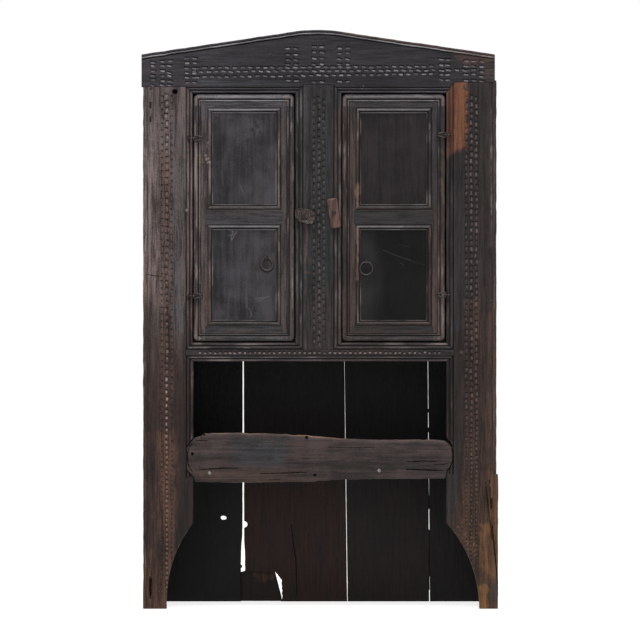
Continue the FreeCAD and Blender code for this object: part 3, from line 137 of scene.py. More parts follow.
def lattice(column, row, seed):
    """A fixed number between 0 and 1 for each whole-number place."""
    mixed = (column * 374761393 + row * 668265263 + seed * 974711) & 0xFFFFFFFF
    mixed = ((mixed ^ (mixed >> 13)) * 1274126177) & 0xFFFFFFFF
    return ((mixed ^ (mixed >> 16)) & 0xFFFF) / 65535


def noise(across, along, seed):
    """Smooth noise between -1 and 1, with features about one unit wide."""
    across, along = np.broadcast_arrays(np.asarray(across, float), np.asarray(along, float))
    column, row = np.floor(across).astype(np.int64), np.floor(along).astype(np.int64)
    right, up = across - column, along - row
    right = right * right * (3 - 2 * right)
    up = up * up * (3 - 2 * up)
    low = lattice(column, row, seed) * (1 - right) + lattice(column + 1, row, seed) * right
    high = lattice(column, row + 1, seed) * (1 - right) + lattice(column + 1, row + 1, seed) * right
    return 2 * (low * (1 - up) + high * up) - 1


def rough_noise(across, along, seed, octaves=4):
    """Noise of several sizes, each half as strong as the one before."""
    total = 0
    for octave in range(octaves):
        scale = 2 ** octave
        total = total + noise(across * scale, along * scale, seed + octave) / scale
    return total


def smooth_step(value, start, end):
    """0 before start and 1 after end, with an even passage between."""
    share = np.clip((value - start) / (end - start), 0, 1)
    return share * share * (3 - 2 * share)


# Board surfaces

# Three channels carry painted highlights and one carries painted shade, besides real marks, as their names
# say.
CHANNELS = ("wear", "dirt", "bare", "chip", "warm", "cool", "tan", "tone")
DARKEST_TONE = -0.8
# Wear and painted highlight on a bead's crest, and grime at its foot on a board's outer edge
BEAD_WEAR_AND_HIGHLIGHT = 0.9
OUTER_GRIME = 0.3
EDGE_GROOVE_DIRT = 0.35
# A gouge mark: the steepness of its bowl, the width of its stop cut and of the painted shade there,
# where painted shade lies on its flanks, and where its scoop catches the light as a painted highlight
BOWL_FLATNESS = 1.7
STOP_WALL = 1.4
STOP_SHADE = 2.2
FLANK_PLACE, FLANK_WIDTH = 0.9, 0.3
FLANK_END = 0.2
GLEAM_START = (0.3, 1.8)
GLEAM_END_SHARES = (0.72, 1.05)
GLEAM_RIM_SHARES = (0.05, 0.45)
# Unevenness: sizes across and along a board
SWELLS = (45, 160)
RIDGES = (3.5, 60)
WORN_PATCHES = (12, 70)
BLOT_EDGES = (14, 14)
PATCH_EDGES = (10, 18)
# Rounding of a free edge and how much it varies, and along what length
FREE_EDGE, FREE_EDGE_PLAY, FREE_EDGE_RUN = 2.2, 1.4, 23


class Surface:
    """The front of a board as a grid: where its points lie, how deep they are and how worn."""

    def __init__(self, across, along, low, high):
        self.across = across
        self.along = np.broadcast_to(along[:, None], across.shape)
        self.rows = along
        self.from_low = across - low[:, None]
        self.from_high = high[:, None] - across
        self.depth = np.zeros_like(across)
        for channel in CHANNELS:
            setattr(self, channel, np.zeros_like(across))

    def lift(self, channel, values, part=slice(None)):
        """Raise a channel to the values given, wherever it lies below them."""
        held = getattr(self, channel)
        held[part] = np.maximum(held[part], values)

    def uneven(self, sizes, seed, octaves=4):
        """Noise with features of the sizes given, across and along."""
        return rough_noise(self.across / sizes[0], self.along / sizes[1], seed, octaves)

    def bead(self, distance, start, width, deep=BEAD_DEPTH, where=True):
        """A round bead between start and start + width."""
        share = (distance - start) / width * 2 - 1
        inside = (np.abs(share) <= 1) & where
        outer = (share < 0) & (start == 0)
        fall = np.where(outer, OUTER_FALL * deep, deep)
        self.depth = np.where(inside, fall * share ** 2, self.depth)
        self.lift("wear", np.where(inside, BEAD_WEAR_AND_HIGHLIGHT * (1 - share ** 2), 0))
        self.lift("dirt", np.where(inside, np.where(outer, OUTER_GRIME, 1) * share ** 6, 0))

    def groove(self, distance, start, width, deep=BEAD_DEPTH, where=True, dirt=1.0):
        """A square groove."""
        inside = (distance > start) & (distance < start + width) & where
        self.depth = np.where(inside, deep, self.depth)
        self.dirt = np.where(inside, dirt, self.dirt)

    def double_bead(self, distance, width, where=True):
        bead = width / 2 - QUIRK
        for start in (0, bead + QUIRK):
            self.bead(distance, start, bead, where=where)
            self.groove(distance, start + bead, QUIRK, where=where)

    def edge_bead(self, distance, where=True):
        self.bead(distance, 0, EDGE_BEAD, deep=EDGE_BEAD_DEPTH, where=where)
        self.groove(distance, EDGE_BEAD, EDGE_QUIRK, EDGE_BEAD_DEPTH, where, EDGE_GROOVE_DIRT)

    def gouge(self, at, heading, length, width, deep, curve=0.25, bright=1.0, tint=0.0):
        """One mark of a gouge: a curved stop cut, and a scoop that runs out along the heading. Its stop
        cut and flanks are darkened as painted shade, and the lit part of its scoop is lightened as a
        painted highlight.
        """
        reach = length + width
        first, last = np.searchsorted(self.rows, [at[1] - reach, at[1] + reach])
        part = slice(first, last)
        east, north = math.cos(heading), math.sin(heading)
        right, up = self.across[part] - at[0], self.along[part] - at[1]
        side = (up * east - right * north) / (width / 2)
        run = right * east + up * north + curve * width * side ** 2
        wall = np.clip((run + STOP_WALL) / STOP_WALL, 0, 1)
        scoop = np.clip(1 - run / length, 0, 1)
        bowl = np.clip(BOWL_FLATNESS * (1 - side ** 2), 0, 1)
        self.depth[part] += deep * np.where(run < 0, wall, scoop) * bowl
        stop = np.clip(1 - np.abs(run + STOP_WALL / 2) / STOP_SHADE, 0, 1) * (bowl > 0)
        flank = 1 - np.clip(np.abs(np.abs(side) - FLANK_PLACE) / FLANK_WIDTH, 0, 1)
        flank *= (run > 0) * (scoop > FLANK_END) * np.sqrt(scoop)
        self.lift("dirt", np.maximum(stop, flank), part)
        ends = [length * share for share in GLEAM_END_SHARES]
        facet = smooth_step(run, *GLEAM_START) * (1 - smooth_step(run, *ends))
        facet *= bright * smooth_step(1 - np.abs(side), *GLEAM_RIM_SHARES)
        self.lift("chip", facet, part)
        self.lift("bare", tint * facet, part)

    def crack(self, points, width, deep, seed=1):
        """A split that follows the points, ragged and pointed at both ends."""
        places = [np.array(point, float) for point in points]
        total = sum(np.linalg.norm(b - a) for a, b in zip(places, places[1:]))
        margin = width * 3
        done = 0
        for start, end in zip(places, places[1:]):
            step = end - start
            length = np.linalg.norm(step)
            first, last = np.searchsorted(
                self.rows, [min(start[1], end[1]) - margin, max(start[1], end[1]) + margin])
            part = slice(first, last)
            right, up = self.across[part] - start[0], self.along[part] - start[1]
            share = (right * step[0] + up * step[1]) / length ** 2
            off = np.abs(up * step[0] - right * step[1]) / length
            place = (done + share * length) / total
            local = width * np.clip(4 * place * (1 - place), 0, 1) * (
                1 + 0.4 * noise(self.along[part] / 6, self.across[part] / 6, seed))
            cut = np.clip(1 - off / np.maximum(local, 0.01), 0, 1) * ((share >= 0) & (share <= 1))
            self.lift("depth", deep * smooth_step(cut, 0, 0.6), part)
            self.lift("dirt", smooth_step(cut, 0, 0.3), part)
            done += length

    def blot(self, channel, centre, radius, amount=1.0, seed=3, ragged=0.35):
        """Raise a channel in a patch with a ragged edge."""
        far = np.hypot((self.across - centre[0]) / radius[0], (self.along - centre[1]) / radius[1])
        far += ragged * self.uneven(BLOT_EDGES, seed)
        self.lift(channel, amount * (1 - smooth_step(far, 0.75, 1.05)))

    def within(self, corners, soft, ragged, seed):
        """1 inside a polygon and 0 outside, with a soft and slightly ragged edge."""
        nearest = np.full(self.across.shape, np.inf)
        inside = np.zeros(self.across.shape, bool)
        for start, end in zip(corners, corners[1:] + corners[:1]):
            step = np.subtract(end, start)
            right, up = self.across - start[0], self.along - start[1]
            share = np.clip((right * step[0] + up * step[1]) / (step @ step), 0, 1)
            nearest = np.minimum(nearest, np.hypot(right - share * step[0], up - share * step[1]))
            between = (start[1] > self.along) != (end[1] > self.along)
            slope = step[0] / step[1] if step[1] else 0
            inside ^= between & (right < slope * up)
        signed = np.where(inside, nearest, -nearest) + ragged * self.uneven(PATCH_EDGES, seed)
        return smooth_step(signed, -soft, soft)

    def patch(self, channel, corners, amount, soft, ragged, seed):
        """Raise a channel inside a polygon."""
        self.lift(channel, amount * self.within(corners, soft, ragged, seed))

    def shade(self, corners, amount, soft, ragged, seed):
        """Make the wood inside a polygon lighter, or darker where the amount is below zero."""
        self.tone += amount * self.within(corners, soft, ragged, seed)

    def specks(self, channel, centre, reach, count, size, amount, seed):
        """Scatter small round spots."""
        rng = np.random.default_rng(seed)
        for _ in range(count):
            place = (rng.normal(centre[0], reach[0]), rng.normal(centre[1], reach[1]))
            radius = size * rng.uniform(0.6, 1.3)
            self.blot(channel, place, (radius, radius * 1.3), amount * rng.uniform(0.5, 1), seed, 0.2)

    def hole(self, at, radius, deep):
        """A small round hole."""
        far = np.hypot(self.across - at[0], self.along - at[1])
        self.depth += deep * smooth_step(far, radius + 0.7, radius - 0.7)
        self.lift("dirt", smooth_step(far, radius + 1, radius))

    def weather(self, seed, amount=0.5, joint_low=False, joint_high=False, gleam=0.25, joint_dirt=1.0,
                joint_rounding=1.5, edge_wear=0.8):
        """Uneven surface, patchy worn paint and painted highlights on the beads, edges taken off and dark
        lines at the joints.
        """
        self.depth += amount * (0.8 + 0.6 * self.uneven(SWELLS, seed, 3))
        self.depth += 0.15 * self.uneven(RIDGES, seed + 7, 1)
        patchy = smooth_step(self.uneven(WORN_PATCHES, seed + 11), -0.3, 1.0)
        self.depth += 0.9 * patchy * self.wear
        self.wear *= gleam + (1 - gleam) * patchy
        free = FREE_EDGE + FREE_EDGE_PLAY * noise(self.along / FREE_EDGE_RUN, 0 * self.along, seed + 13)
        for distance, joint in ((self.from_low, joint_low), (self.from_high, joint_high)):
            joint = np.broadcast_to(np.asarray(joint), self.rows.shape)[:, None]
            radius = np.where(joint, joint_rounding, free)
            inside = np.clip(1 - distance / radius, 0, 1)
            self.depth += radius * (1 - np.sqrt(np.clip(1 - inside ** 2, 0, 1)))
            rubbed = edge_wear * inside * (0.35 + 0.65 * patchy)
            self.lift("wear", np.where(joint, 0, rubbed))
            self.lift("dirt", np.where(joint, joint_dirt * smooth_step(inside, 0, 0.4), 0))
        self.depth = np.maximum(self.depth, 0)

    def age(self, marks, at):
        """Work a table of marks in. Each row says what it is, where in the photograph, and how much."""
        for kind, where, *numbers in marks:
            if kind == "crack":
                self.crack([at(*place) for place in where], *numbers)
            elif kind == "hole":
                self.hole(at(*where), *numbers)
            elif kind in ("blot", "specks"):
                channel, *numbers = numbers
                getattr(self, kind)(channel, at(*where), *numbers)
            elif kind == "shade":
                self.shade(corners_of(where, at), *numbers)
            else:
                self.patch(kind, corners_of(where, at), *numbers)


def corners_of(where, at):
    """Corners on a board of an upright rectangle (left, top, right, bottom) or a polygon."""
    if isinstance(where[0], tuple):
        return [at(*place) for place in where]
    left, top, right, bottom = where
    return [at(left, top), at(right, top), at(right, bottom), at(left, bottom)]


def bead_lines(start, width):
    """Grid lines that follow a round bead."""
    shares = (0.02, 0.12, 0.3, 0.5, 0.7, 0.88, 0.98)
    return [start + width * share for share in shares]


def groove_lines(start, width, wall=0.15):
    return [start - wall, start + wall, start + width - wall, start + width + wall]


def double_bead_lines(width):
    bead = width / 2 - QUIRK
    return (bead_lines(0, bead) + groove_lines(bead, QUIRK) + bead_lines(bead + QUIRK, bead)
            + groove_lines(width - QUIRK, QUIRK))


EDGE_LINES = [0, 0.4, 1.0, 1.9, 3.2]
EDGE_BEAD_LINES = EDGE_LINES[:-1] + [3, 5, 6.5, 8, 10, 11.7] + groove_lines(EDGE_BEAD, EDGE_QUIRK)


def spread(start, end, step):
    """Even places from start to end, about one step apart."""
    count = max(2, int(round((end - start) / step)) + 1)
    return list(np.linspace(start, end, count))


def make_grid(near, fixed, far, low, high):
    """Places across for every row: some follow the low edge, some stay, some follow the high edge."""
    near, far = np.array(sorted(near)), np.array(sorted(far))
    inner, outer = low + near[-1], high - far[-1]
    middle = np.clip(np.array(sorted(fixed))[None, :], inner[:, None], np.maximum(outer, inner)[:, None])
    return np.hstack([low[:, None] + near, middle, high[:, None] - far[::-1]])


def grid_faces(ids):
    """Faces between the points of a grid, some of which are one point, and its outline."""
    a, b = ids[:-1, :-1].ravel(), ids[:-1, 1:].ravel()
    c, d = ids[1:, 1:].ravel(), ids[1:, :-1].ravel()
    quads = np.column_stack([a, b, c, d])[(a != b) & (c != d)]
    lower = np.column_stack([a, b, c])[(a != b) & (c == d)]
    upper = np.column_stack([a, c, d])[(a == b) & (c != d)]
    first, last = list(dict.fromkeys(ids[0].tolist())), list(dict.fromkeys(ids[-1].tolist()))
    rim = first + ids[1:-1, -1].tolist() + last[::-1] + ids[1:-1, 0].tolist()[::-1]
    return quads.tolist() + lower.tolist() + upper.tolist(), list(dict.fromkeys(rim))


def board_mesh(name, surface, thickness, place):
    """Close a surface into a board with sawn edges and a plain back, as a mesh in the row frame."""
    gaps = np.diff(surface.across, axis=1) > MERGE
    new = np.hstack([np.ones((len(surface.rows), 1), bool), gaps])
    ids = np.cumsum(new.ravel()).reshape(new.shape) - 1
    keep = new.ravel()

    def taken(grid):
        return grid.ravel()[keep]

    across, along, depth = taken(surface.across), taken(surface.along), taken(surface.depth)
    front = np.column_stack(place(across, along, depth))
    faces, rim = grid_faces(ids)
    back = np.column_stack(place(across[rim], along[rim], np.full(len(rim), float(thickness))))
    loop = list(range(len(front), len(front) + len(rim)))
    for index, low in enumerate(rim):
        following = (index + 1) % len(rim)
        faces.append([low, loop[index], loop[following], rim[following]])
    faces.append(loop)
    mesh = bpy.data.meshes.new(name)
    mesh.from_pydata((np.vstack([front, back]) * MM).tolist(), [], faces)
    for channel in CHANNELS:
        values = np.concatenate([taken(getattr(surface, channel)), np.zeros(len(rim))])
        attribute = mesh.attributes.new(channel, "FLOAT", "POINT")
        lowest = DARKEST_TONE if channel == "tone" else 0
        attribute.data.foreach_set("value", np.clip(values, lowest, 1).astype(np.float32))
    tidy_normals(mesh)
    return mesh


def tidy_normals(mesh, angle=38):
    """Turn all faces outwards and shade the mesh smooth but for its sharp edges."""
    work = bmesh.new()
    work.from_mesh(mesh)
    bmesh.ops.recalc_face_normals(work, faces=work.faces)
    work.to_mesh(mesh)
    work.free()
    mesh.shade_smooth()
    mesh.set_sharp_from_angle(angle=math.radians(angle))


def add_board(name, surface, thickness, place, wood, node, body="case"):
    """Show a surface as a board in place of its solid, riding on the solid's body."""
    piece = bpy.data.objects.new(name, board_mesh(name, surface, thickness, place))
    bpy.context.scene.collection.objects.link(piece)
    piece.data.materials.append(WOODS[wood])
    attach(piece, body)
    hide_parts(node)
    return piece


def upright(side, inner, face=FRONT):
    """Points of an upright board, measured outwards from its inner edge."""
    return lambda across, along, depth: (side * (inner + across), face + depth, along)


def lying(start, bottom, face=FRONT):
    """Points of a lying board: along runs to the right and across runs up from its lower edge."""
    return lambda across, along, depth: (start + along, face + depth, bottom + across)


# Front frame

def leg_arch(height, foot):
    """Inner edge of a foot below the arch, as an arc from the board's inner edge to the foot."""
    half = math.hypot(foot, LEG_ARCH_HEIGHT) / 2
    reach = math.sqrt(LEG_ARCH_RADIUS ** 2 - half ** 2)
    centre_across = foot / 2 - reach * LEG_ARCH_HEIGHT / (2 * half)
    centre_up = LEG_ARCH_HEIGHT / 2 - reach * foot / (2 * half)
    return centre_across + np.sqrt(LEG_ARCH_RADIUS ** 2 - (height - centre_up) ** 2)


def ragged(along, seed, amount, size=30):
    """How far an edge is worn back, never forward of its line."""
    return amount * (0.5 + 0.5 * rough_noise(along / size, 0 * along, seed, 4).clip(-1, 1))


def stile_inner_edge(side, rows):
    """Edge of a stile beside the doors and the shelf, with its notch and the arch of its foot."""
    shoulder = SHOULDERS[side]
    heights = [
        LEG_ARCH_HEIGHT, NOTCH_BOTTOM[side], NOTCH_LOWER[side], NOTCH_UPPER, NOTCH_TOP, RAIL_LOW,
        RAIL_LOW + RAIL_LOW_BAND, RAIL_HIGH - RAIL_TOP_BAND, RAIL_HIGH, HEAD, shoulder,
    ]
    edges = [0, 0, NOTCH_DEPTH, NOTCH_DEPTH, 0, 0, STILE_BAND, STILE_BAND, 0, 0, STILE_BAND]
    edge = np.interp(rows, heights, edges)
    if side < 0:
        edge = np.where((rows > RAIL_HIGH) & (rows < HEAD), HINGE_SIDE_SHIFT, edge)
    foot = STILE_WIDTH - FOOT_WIDTHS[side]
    arch = leg_arch(np.minimum(rows, LEG_ARCH_HEIGHT), foot)
    return np.where(rows < LEG_ARCH_HEIGHT, np.maximum(arch, 0), edge)


# Columns of gouge marks on the uprights: place across, first and last row of the photograph,
# then width, length, depth and the brightness of the painted highlight in its marks.
LEFT_COLUMNS = (
    (162.0, 96, 596, 6.5, 13, 2.0, 0.2), (166.8, 93, 600, 9.5, 14, 3.0, 1),
    (171.6, 96, 572, 6.5, 13, 2.0, 0.2),
)
RIGHT_COLUMNS = (
    (466.4, 90, 566, 8.5, 14.5, 2.6, 0.7), (471.3, 94, 580, 9.5, 17.5, 3.4, 0.85),
    (476.4, 96, 560, 9, 17, 3.2, 0.8),
)
MUNTIN_COLUMNS = (
    (313.9, 96, 344, 8, 14, 2.4, 0.7), (319.0, 95, 346, 9, 16.5, 3.0, 0.75),
    (323.8, 98, 343, 8, 14, 2.4, 0.65),
)
# From top to bottom of the uprights: brightness of the painted highlight in the marks, bare wood in
# them, and their size.
LEFT_RUNS = (
    ((96, 0.7), (130, 0.5), (190, 0.3), (340, 0.4), (420, 0.8), (600, 0.9)),
    ((96, 0.1), (380, 0.2), (460, 0.9), (600, 0.9)), ((96, 1), (400, 0.95), (450, 0.72), (600, 0.66)),
)
RIGHT_RUNS = (
    ((96, 0.6), (200, 0.6), (480, 0.6), (600, 0.5)), ((96, 0.2), (300, 0.3), (380, 0.65), (600, 0.65)),
    ((96, 0.9), (390, 0.9), (450, 0.66), (600, 0.54)),
)
MUNTIN_RUNS = (((96, 0.55), (346, 0.6)), ((96, 0.1), (346, 0.2)), ((96, 0.95), (346, 0.95)))
MARK_PITCH = 7.0


def column_marks(surface, columns, runs, at, seed):
    """Cut rows of gouge marks that run down a board, with the unevenness of handwork."""
    rng = np.random.default_rng(seed)
    for pixel, first, last, width, length, deep, bright in columns:
        place = first + rng.uniform(0, 2)
        while place < last:
            gleam, tint, size = (np.interp(place, *zip(*run)) for run in runs)
            surface.gouge(
                at(pixel + rng.normal(0, 0.25), place), DOWN + rng.normal(0, 0.12),
                size * length * rng.uniform(0.8, 1.1), size * width * rng.uniform(0.85, 1.15),
                size * deep * rng.uniform(0.7, 1.1), bright=bright * gleam * rng.uniform(0.6, 1.2),
                tint=tint)
            place += size * MARK_PITCH * rng.uniform(0.93, 1.07)


# Wear of the left stile: a light, rubbed board with cracks in its foot and an empty peg hole.
LEFT_STILE_AGE = (
    ("hole", (174.7, 91.7), 6.5, 18),
    ("crack", ((150, 572), (150.6, 590), (151, 609)), 1.6, 9, 5),
    ("crack", ((145, 274), (152, 275.5), (162, 277)), 1.3, 2, 6),
    ("crack", ((150.5, 88), (149.5, 98), (151, 110), (150, 126)), 1.2, 2, 7),
    ("crack", ((165, 90), (163.5, 97), (165, 108), (163.5, 124)), 1.0, 2, 8),
    ("warm", (160, 150, 173, 460), 0.45, 12, 8, 31),
    ("warm", (157, 430, 175, 600), 0.8, 14, 10, 32),
    ("warm", (130, 550, 180, 640), 0.8, 25, 14, 33),
    ("warm", (183, 220, 190, 305), 0.6, 6, 8, 34),
    ("warm", (140, 250, 148, 500), 0.5, 8, 8, 38),
    ("cool", (173, 120, 185, 335), 0.8, 10, 10, 35),
    ("shade", (136, 118, 158, 305), 0.4, 24, 10, 36),
    ("shade", (136, 150, 157, 290), 0.35, 18, 10, 40),
    ("shade", (172, 400, 196, 640), -0.2, 18, 10, 41),
    ("shade", (136, 300, 150, 480), -0.2, 14, 8, 42),
    ("tan", (136, 560, 164, 640), 0.3, 16, 12, 43),
    # Dark halos round the hinge eyes: painted shadow of the hinges.
    ("blot", (189, 139.5), "dirt", (9, 11), 0.6, 44),
    ("blot", (189, 297.5), "dirt", (9, 11), 0.6, 44),
    ("specks", (166, 540), "bare", (14, 130), 46, 2.4, 0.8, 37),
    ("specks", (180, 154), "bare", (12, 14), 9, 2.6, 0.9, 38),
    ("specks", (186, 211), "chip", (3, 5), 3, 3, 0.9, 39),
)
# The right stile: a dark board with a split foot and a patch rubbed bare at its head.
RIGHT_STILE_AGE = (
    ("crack", ((489, 475), (490.5, 500), (493, 535), (496.5, 570), (498, 592)), 2.4, 8, 5),
    ("crack", ((485.5, 480), (488, 505), (491, 530), (493, 560)), 1.8, 2.5, 6),
    ("shade", (446, 88, 453, 345), 0.4, 6, 4, 36),
    ("shade", (474, 150, 484, 300), 0.25, 8, 6, 37),
    ("shade", (488.5, 88, 505, 470), 0.4, 7, 5, 38),
    ("shade", (446, 350, 484, 530), -0.15, 20, 10, 39),
    ("bare", ((454, 60), (468.5, 60), (466.5, 147), (452, 154)), 0.85, 12, 5, 21),
    ("bare", ((430, 60), (468.5, 60), (466.5, 146), (430, 166)), 0.52, 6, 4, 22),
    ("tan", ((474, 585), (489, 583), (489, 640), (474, 640)), 1.0, 6, 5, 23),
    ("chip", ((478, 588), (487, 586), (487, 640), (478, 640)), 0.4, 8, 8, 43),
    ("tan", (480, 524, 488.5, 574), 0.75, 12, 8, 28),
    ("tan", (487, 470, 505, 578), 0.45, 10, 8, 40),
    ("shade", (488, 120, 505, 245), 0.35, 6, 5, 44),
    ("wear", (490.3, 108, 492.6, 250), 1.0, 2, 2, 45),
    ("chip", (490.6, 165, 492.2, 215), 0.5, 2, 2, 46),
    ("specks", (484, 596), "dirt", (14, 20), 26, 2.2, 0.7, 41),
    ("cool", ((489, 584), (510, 584), (510, 603), (489, 603)), 0.5, 6, 5, 24),
    ("warm", ((480, 515), (510, 440), (510, 640), (470, 640)), 0.9, 16, 12, 25),
    ("warm", ((462, 500), (482, 500), (482, 600), (470, 600)), 0.5, 16, 12, 26),
    ("warm", ((476, 320), (500, 300), (500, 520), (480, 520)), 0.35, 16, 12, 33),
    ("warm", ((462, 300), (480, 300), (480, 520), (462, 520)), 0.4, 10, 10, 34),
    ("cool", ((440, 440), (461, 440), (459, 508), (440, 524)), 0.6, 12, 8, 27),
    ("cool", ((449, 165), (463, 155), (463, 330), (449, 330)), 0.5, 12, 8, 35),
    ("specks", (463, 532), "tan", (18, 40), 44, 2.2, 0.9, 29),
    ("specks", (472, 552), "tan", (12, 50), 40, 2.2, 0.9, 42),
    ("crack", ((478, 288), (487, 285), (497, 282)), 0.8, 1, 30),
    ("blot", (478, 300.5), "wear", (56, 3), 0.7, 31, 0.2),
    ("blot", (487, 171), "wear", (30, 3), 0.7, 32, 0.2),
)
STILES = {
    "left_stile": (-1, LEFT_COLUMNS, LEFT_RUNS, LEFT_STILE_AGE, 11),
    "right_stile": (1, RIGHT_COLUMNS, RIGHT_RUNS, RIGHT_STILE_AGE, 12),
}
# Share of the beads' wear and painted highlight kept on the stiles.
STILE_BEAD_WEAR = 0.65
# Where the marks run down a stile, measured from its inner edge
MARKED_WIDTH = (52, 99)


def make_stile(name, side, columns, runs, marks, seed):
    """Front upright with a double bead beside the doors and a round outer edge."""
    rows = np.array(spread(0, SHOULDERS[side], ROW_STEP))
    low = stile_inner_edge(side, rows)
    flare = FLARE if side > 0 else 0
    high = STILE_WIDTH + np.where(rows < NOTCH_BOTTOM[side], flare, 0) - ragged(rows, seed, 1.3)
    fixed = double_bead_lines(STILE_BAND) + spread(STILE_BAND + 4, 50, COARSE)
    fixed += spread(*MARKED_WIDTH, FINE)
    fixed += spread(100, STILE_WIDTH - EDGE_BEAD - EDGE_QUIRK - 2, COARSE if side < 0 else FINE)
    outer_lines = sorted(EDGE_BEAD_LINES + spread(2, EDGE_BEAD + EDGE_QUIRK, FINE))
    across = make_grid(EDGE_LINES[:4], fixed, outer_lines, low, high)
    surface = Surface(across, rows, low, high)
    surface.double_bead(across, STILE_BAND, where=surface.along > NOTCH_BOTTOM[side])
    surface.edge_bead(surface.from_high, surface.along > (NOTCH_BOTTOM[side] if side > 0 else 0))
    surface.wear *= STILE_BEAD_WEAR
    at = lambda x, y: (side * across_at(x) - HALF_OPENING, height_at(y))
    column_marks(surface, columns, runs, at, seed)
    surface.age(marks, at)
    in_rail = (rows > RAIL_LOW - 1) & (rows < RAIL_HIGH + 1)
    surface.weather(seed, joint_low=in_rail | (rows > HEAD - 1), gleam=0.45)
    add_board(f"carved_{name}", surface, BOARD_THICKNESS, upright(side, HALF_OPENING), name, name)


MUNTIN_AGE = (
    ("blot", (308, 272.5), "bare", (13, 5), 0.5, 32),
    ("shade", (296, 88, 307, 350), 0.85, 6, 4, 36),
    ("shade", (333.5, 88, 342, 350), 0.45, 6, 4, 37),
    ("warm", (333, 110, 345, 345), 0.7, 5, 6, 33),
    ("warm", (290, 290, 345, 360), 0.5, 16, 14, 34),
    ("warm", (303, 225, 312, 262), 0.6, 8, 8, 35),
)


def make_muntin():
    """Upright between the doors, with a double bead on both sides."""
    width = MUNTIN_RIGHT - MUNTIN_LEFT
    bottom = RAIL_HIGH - RAIL_TOP_BAND
    rows = np.array(spread(bottom, MUNTIN_SHOULDER, ROW_STEP))
    low = np.interp(rows, [bottom, RAIL_HIGH, HEAD, MUNTIN_SHOULDER], [MUNTIN_BAND, 0, 0, MUNTIN_BAND])
    high = width - low
    lines = double_bead_lines(MUNTIN_BAND)
    fixed = lines + [width - line for line in lines] + spread(MUNTIN_BAND + 4, 45, COARSE)
    fixed += spread(46, 90, FINE) + spread(93, width - MUNTIN_BAND - 4, COARSE)
    across = make_grid(EDGE_LINES[:4], fixed, EDGE_LINES[:4], low, high)
    surface = Surface(across, rows, low, high)
    surface.double_bead(across, MUNTIN_BAND)
    surface.double_bead(width - across, MUNTIN_BAND)
    at = lambda x, y: (across_at(x) - MUNTIN_LEFT, height_at(y))
    column_marks(surface, MUNTIN_COLUMNS, MUNTIN_RUNS, at, 31)
    surface.age(MUNTIN_AGE, at)
    joint = (rows < RAIL_HIGH + 1) | (rows > HEAD - 1)
    surface.weather(31, joint_low=joint, joint_high=joint)
    add_board("carved_muntin", surface, BOARD_THICKNESS, upright(1, MUNTIN_LEFT), "muntin",
              "centre_muntin")


# Marks of the rail: first and last place and height in the photograph, and their pitch there
RAIL_MARKS = (200, 440, 352)
RAIL_MARK_PITCH = 5.0
RAIL_MARK_LENGTH, RAIL_MARK_WIDTH, RAIL_MARK_DEPTH = 6.5, 9.5, 2.2
RAIL_AGE = (("bare", (368, 349, 386, 353), 0.3, 5, 5, 44), ("warm", (330, 340, 400, 362), 0.4, 14, 10, 45))


def rail_marks(surface, at):
    """One row of marks along the middle rail."""
    rng = np.random.default_rng(41)
    place, last, level = RAIL_MARKS
    while place < last:
        surface.gouge(
            at(place, level + rng.normal(0, 0.2)), LEFTWARDS + rng.normal(0, 0.2), RAIL_MARK_LENGTH,
            RAIL_MARK_WIDTH * rng.uniform(0.85, 1.1), RAIL_MARK_DEPTH,
            bright=rng.uniform(0.45, 0.95), tint=0.5)
        place += RAIL_MARK_PITCH * rng.uniform(0.92, 1.08)


def make_rail():
    """Middle rail: rows of the grid run along it, and across is its height."""
    height = RAIL_HIGH - RAIL_LOW
    end = HALF_OPENING + STILE_BAND
    rows = np.array(spread(-end, end, ROW_STEP))
    low = np.interp(np.abs(rows), [HALF_OPENING, end], [0, RAIL_LOW_BAND])
    high = np.interp(np.abs(rows), [HALF_OPENING, end], [height, height - RAIL_TOP_BAND])
    seat = np.interp(
        rows, [MUNTIN_LEFT, MUNTIN_LEFT + MUNTIN_BAND, MUNTIN_RIGHT - MUNTIN_BAND, MUNTIN_RIGHT],
        [height, height - RAIL_TOP_BAND, height - RAIL_TOP_BAND, height])
    high = np.minimum(high, seat)
    fixed = double_bead_lines(RAIL_LOW_BAND) + spread(RAIL_LOW_BAND + 1, height - RAIL_TOP_BAND - 1, FINE)
    fixed += [height - line for line in double_bead_lines(RAIL_TOP_BAND)]
    across = make_grid(EDGE_LINES[:3], fixed, EDGE_LINES[:3], low, high)
    surface = Surface(across, rows, low, high)
    surface.double_bead(across, RAIL_LOW_BAND)
    surface.double_bead(height - across, RAIL_TOP_BAND)
    at = lambda x, y: (height_at(y) - RAIL_LOW, across_at(x))
    rail_marks(surface, at)
    surface.age(RAIL_AGE, at)
    joint = np.abs(rows) > HALF_OPENING - 1
    by_muntin = (rows > MUNTIN_LEFT - 1) & (rows < MUNTIN_RIGHT + 1)
    surface.weather(43, amount=0.3, joint_low=joint, joint_high=joint | by_muntin, gleam=0.5)
    add_board("carved_rail", surface, BOARD_THICKNESS, lying(0, RAIL_LOW), "rail", "middle_rail")


def gable(rows):
    """Upper edge of the pediment above the head, with its rounded peak."""
    far = np.abs(rows + GABLE_SHIFT)
    left = GABLE_RISE / (-PEDIMENT_LEFT - GABLE_SHIFT)
    right = GABLE_RISE / (PEDIMENT_RIGHT + GABLE_SHIFT)
    slope = np.where(rows < -GABLE_SHIFT, left, right)
    rounding = slope * (PEAK_ROUNDING ** 2 + far ** 2) / (2 * PEAK_ROUNDING)
    return GABLE_ENDS + GABLE_RISE - np.where(far < PEAK_ROUNDING, rounding, slope * far)


# Marks of the pediment, in the photograph's pixels. Rows: first, last and height at both ends.
PEDIMENT_ROWS = ((197, 436, 67, 65.4), (194, 468, 70.6, 69), (197, 436, 76, 72.8))
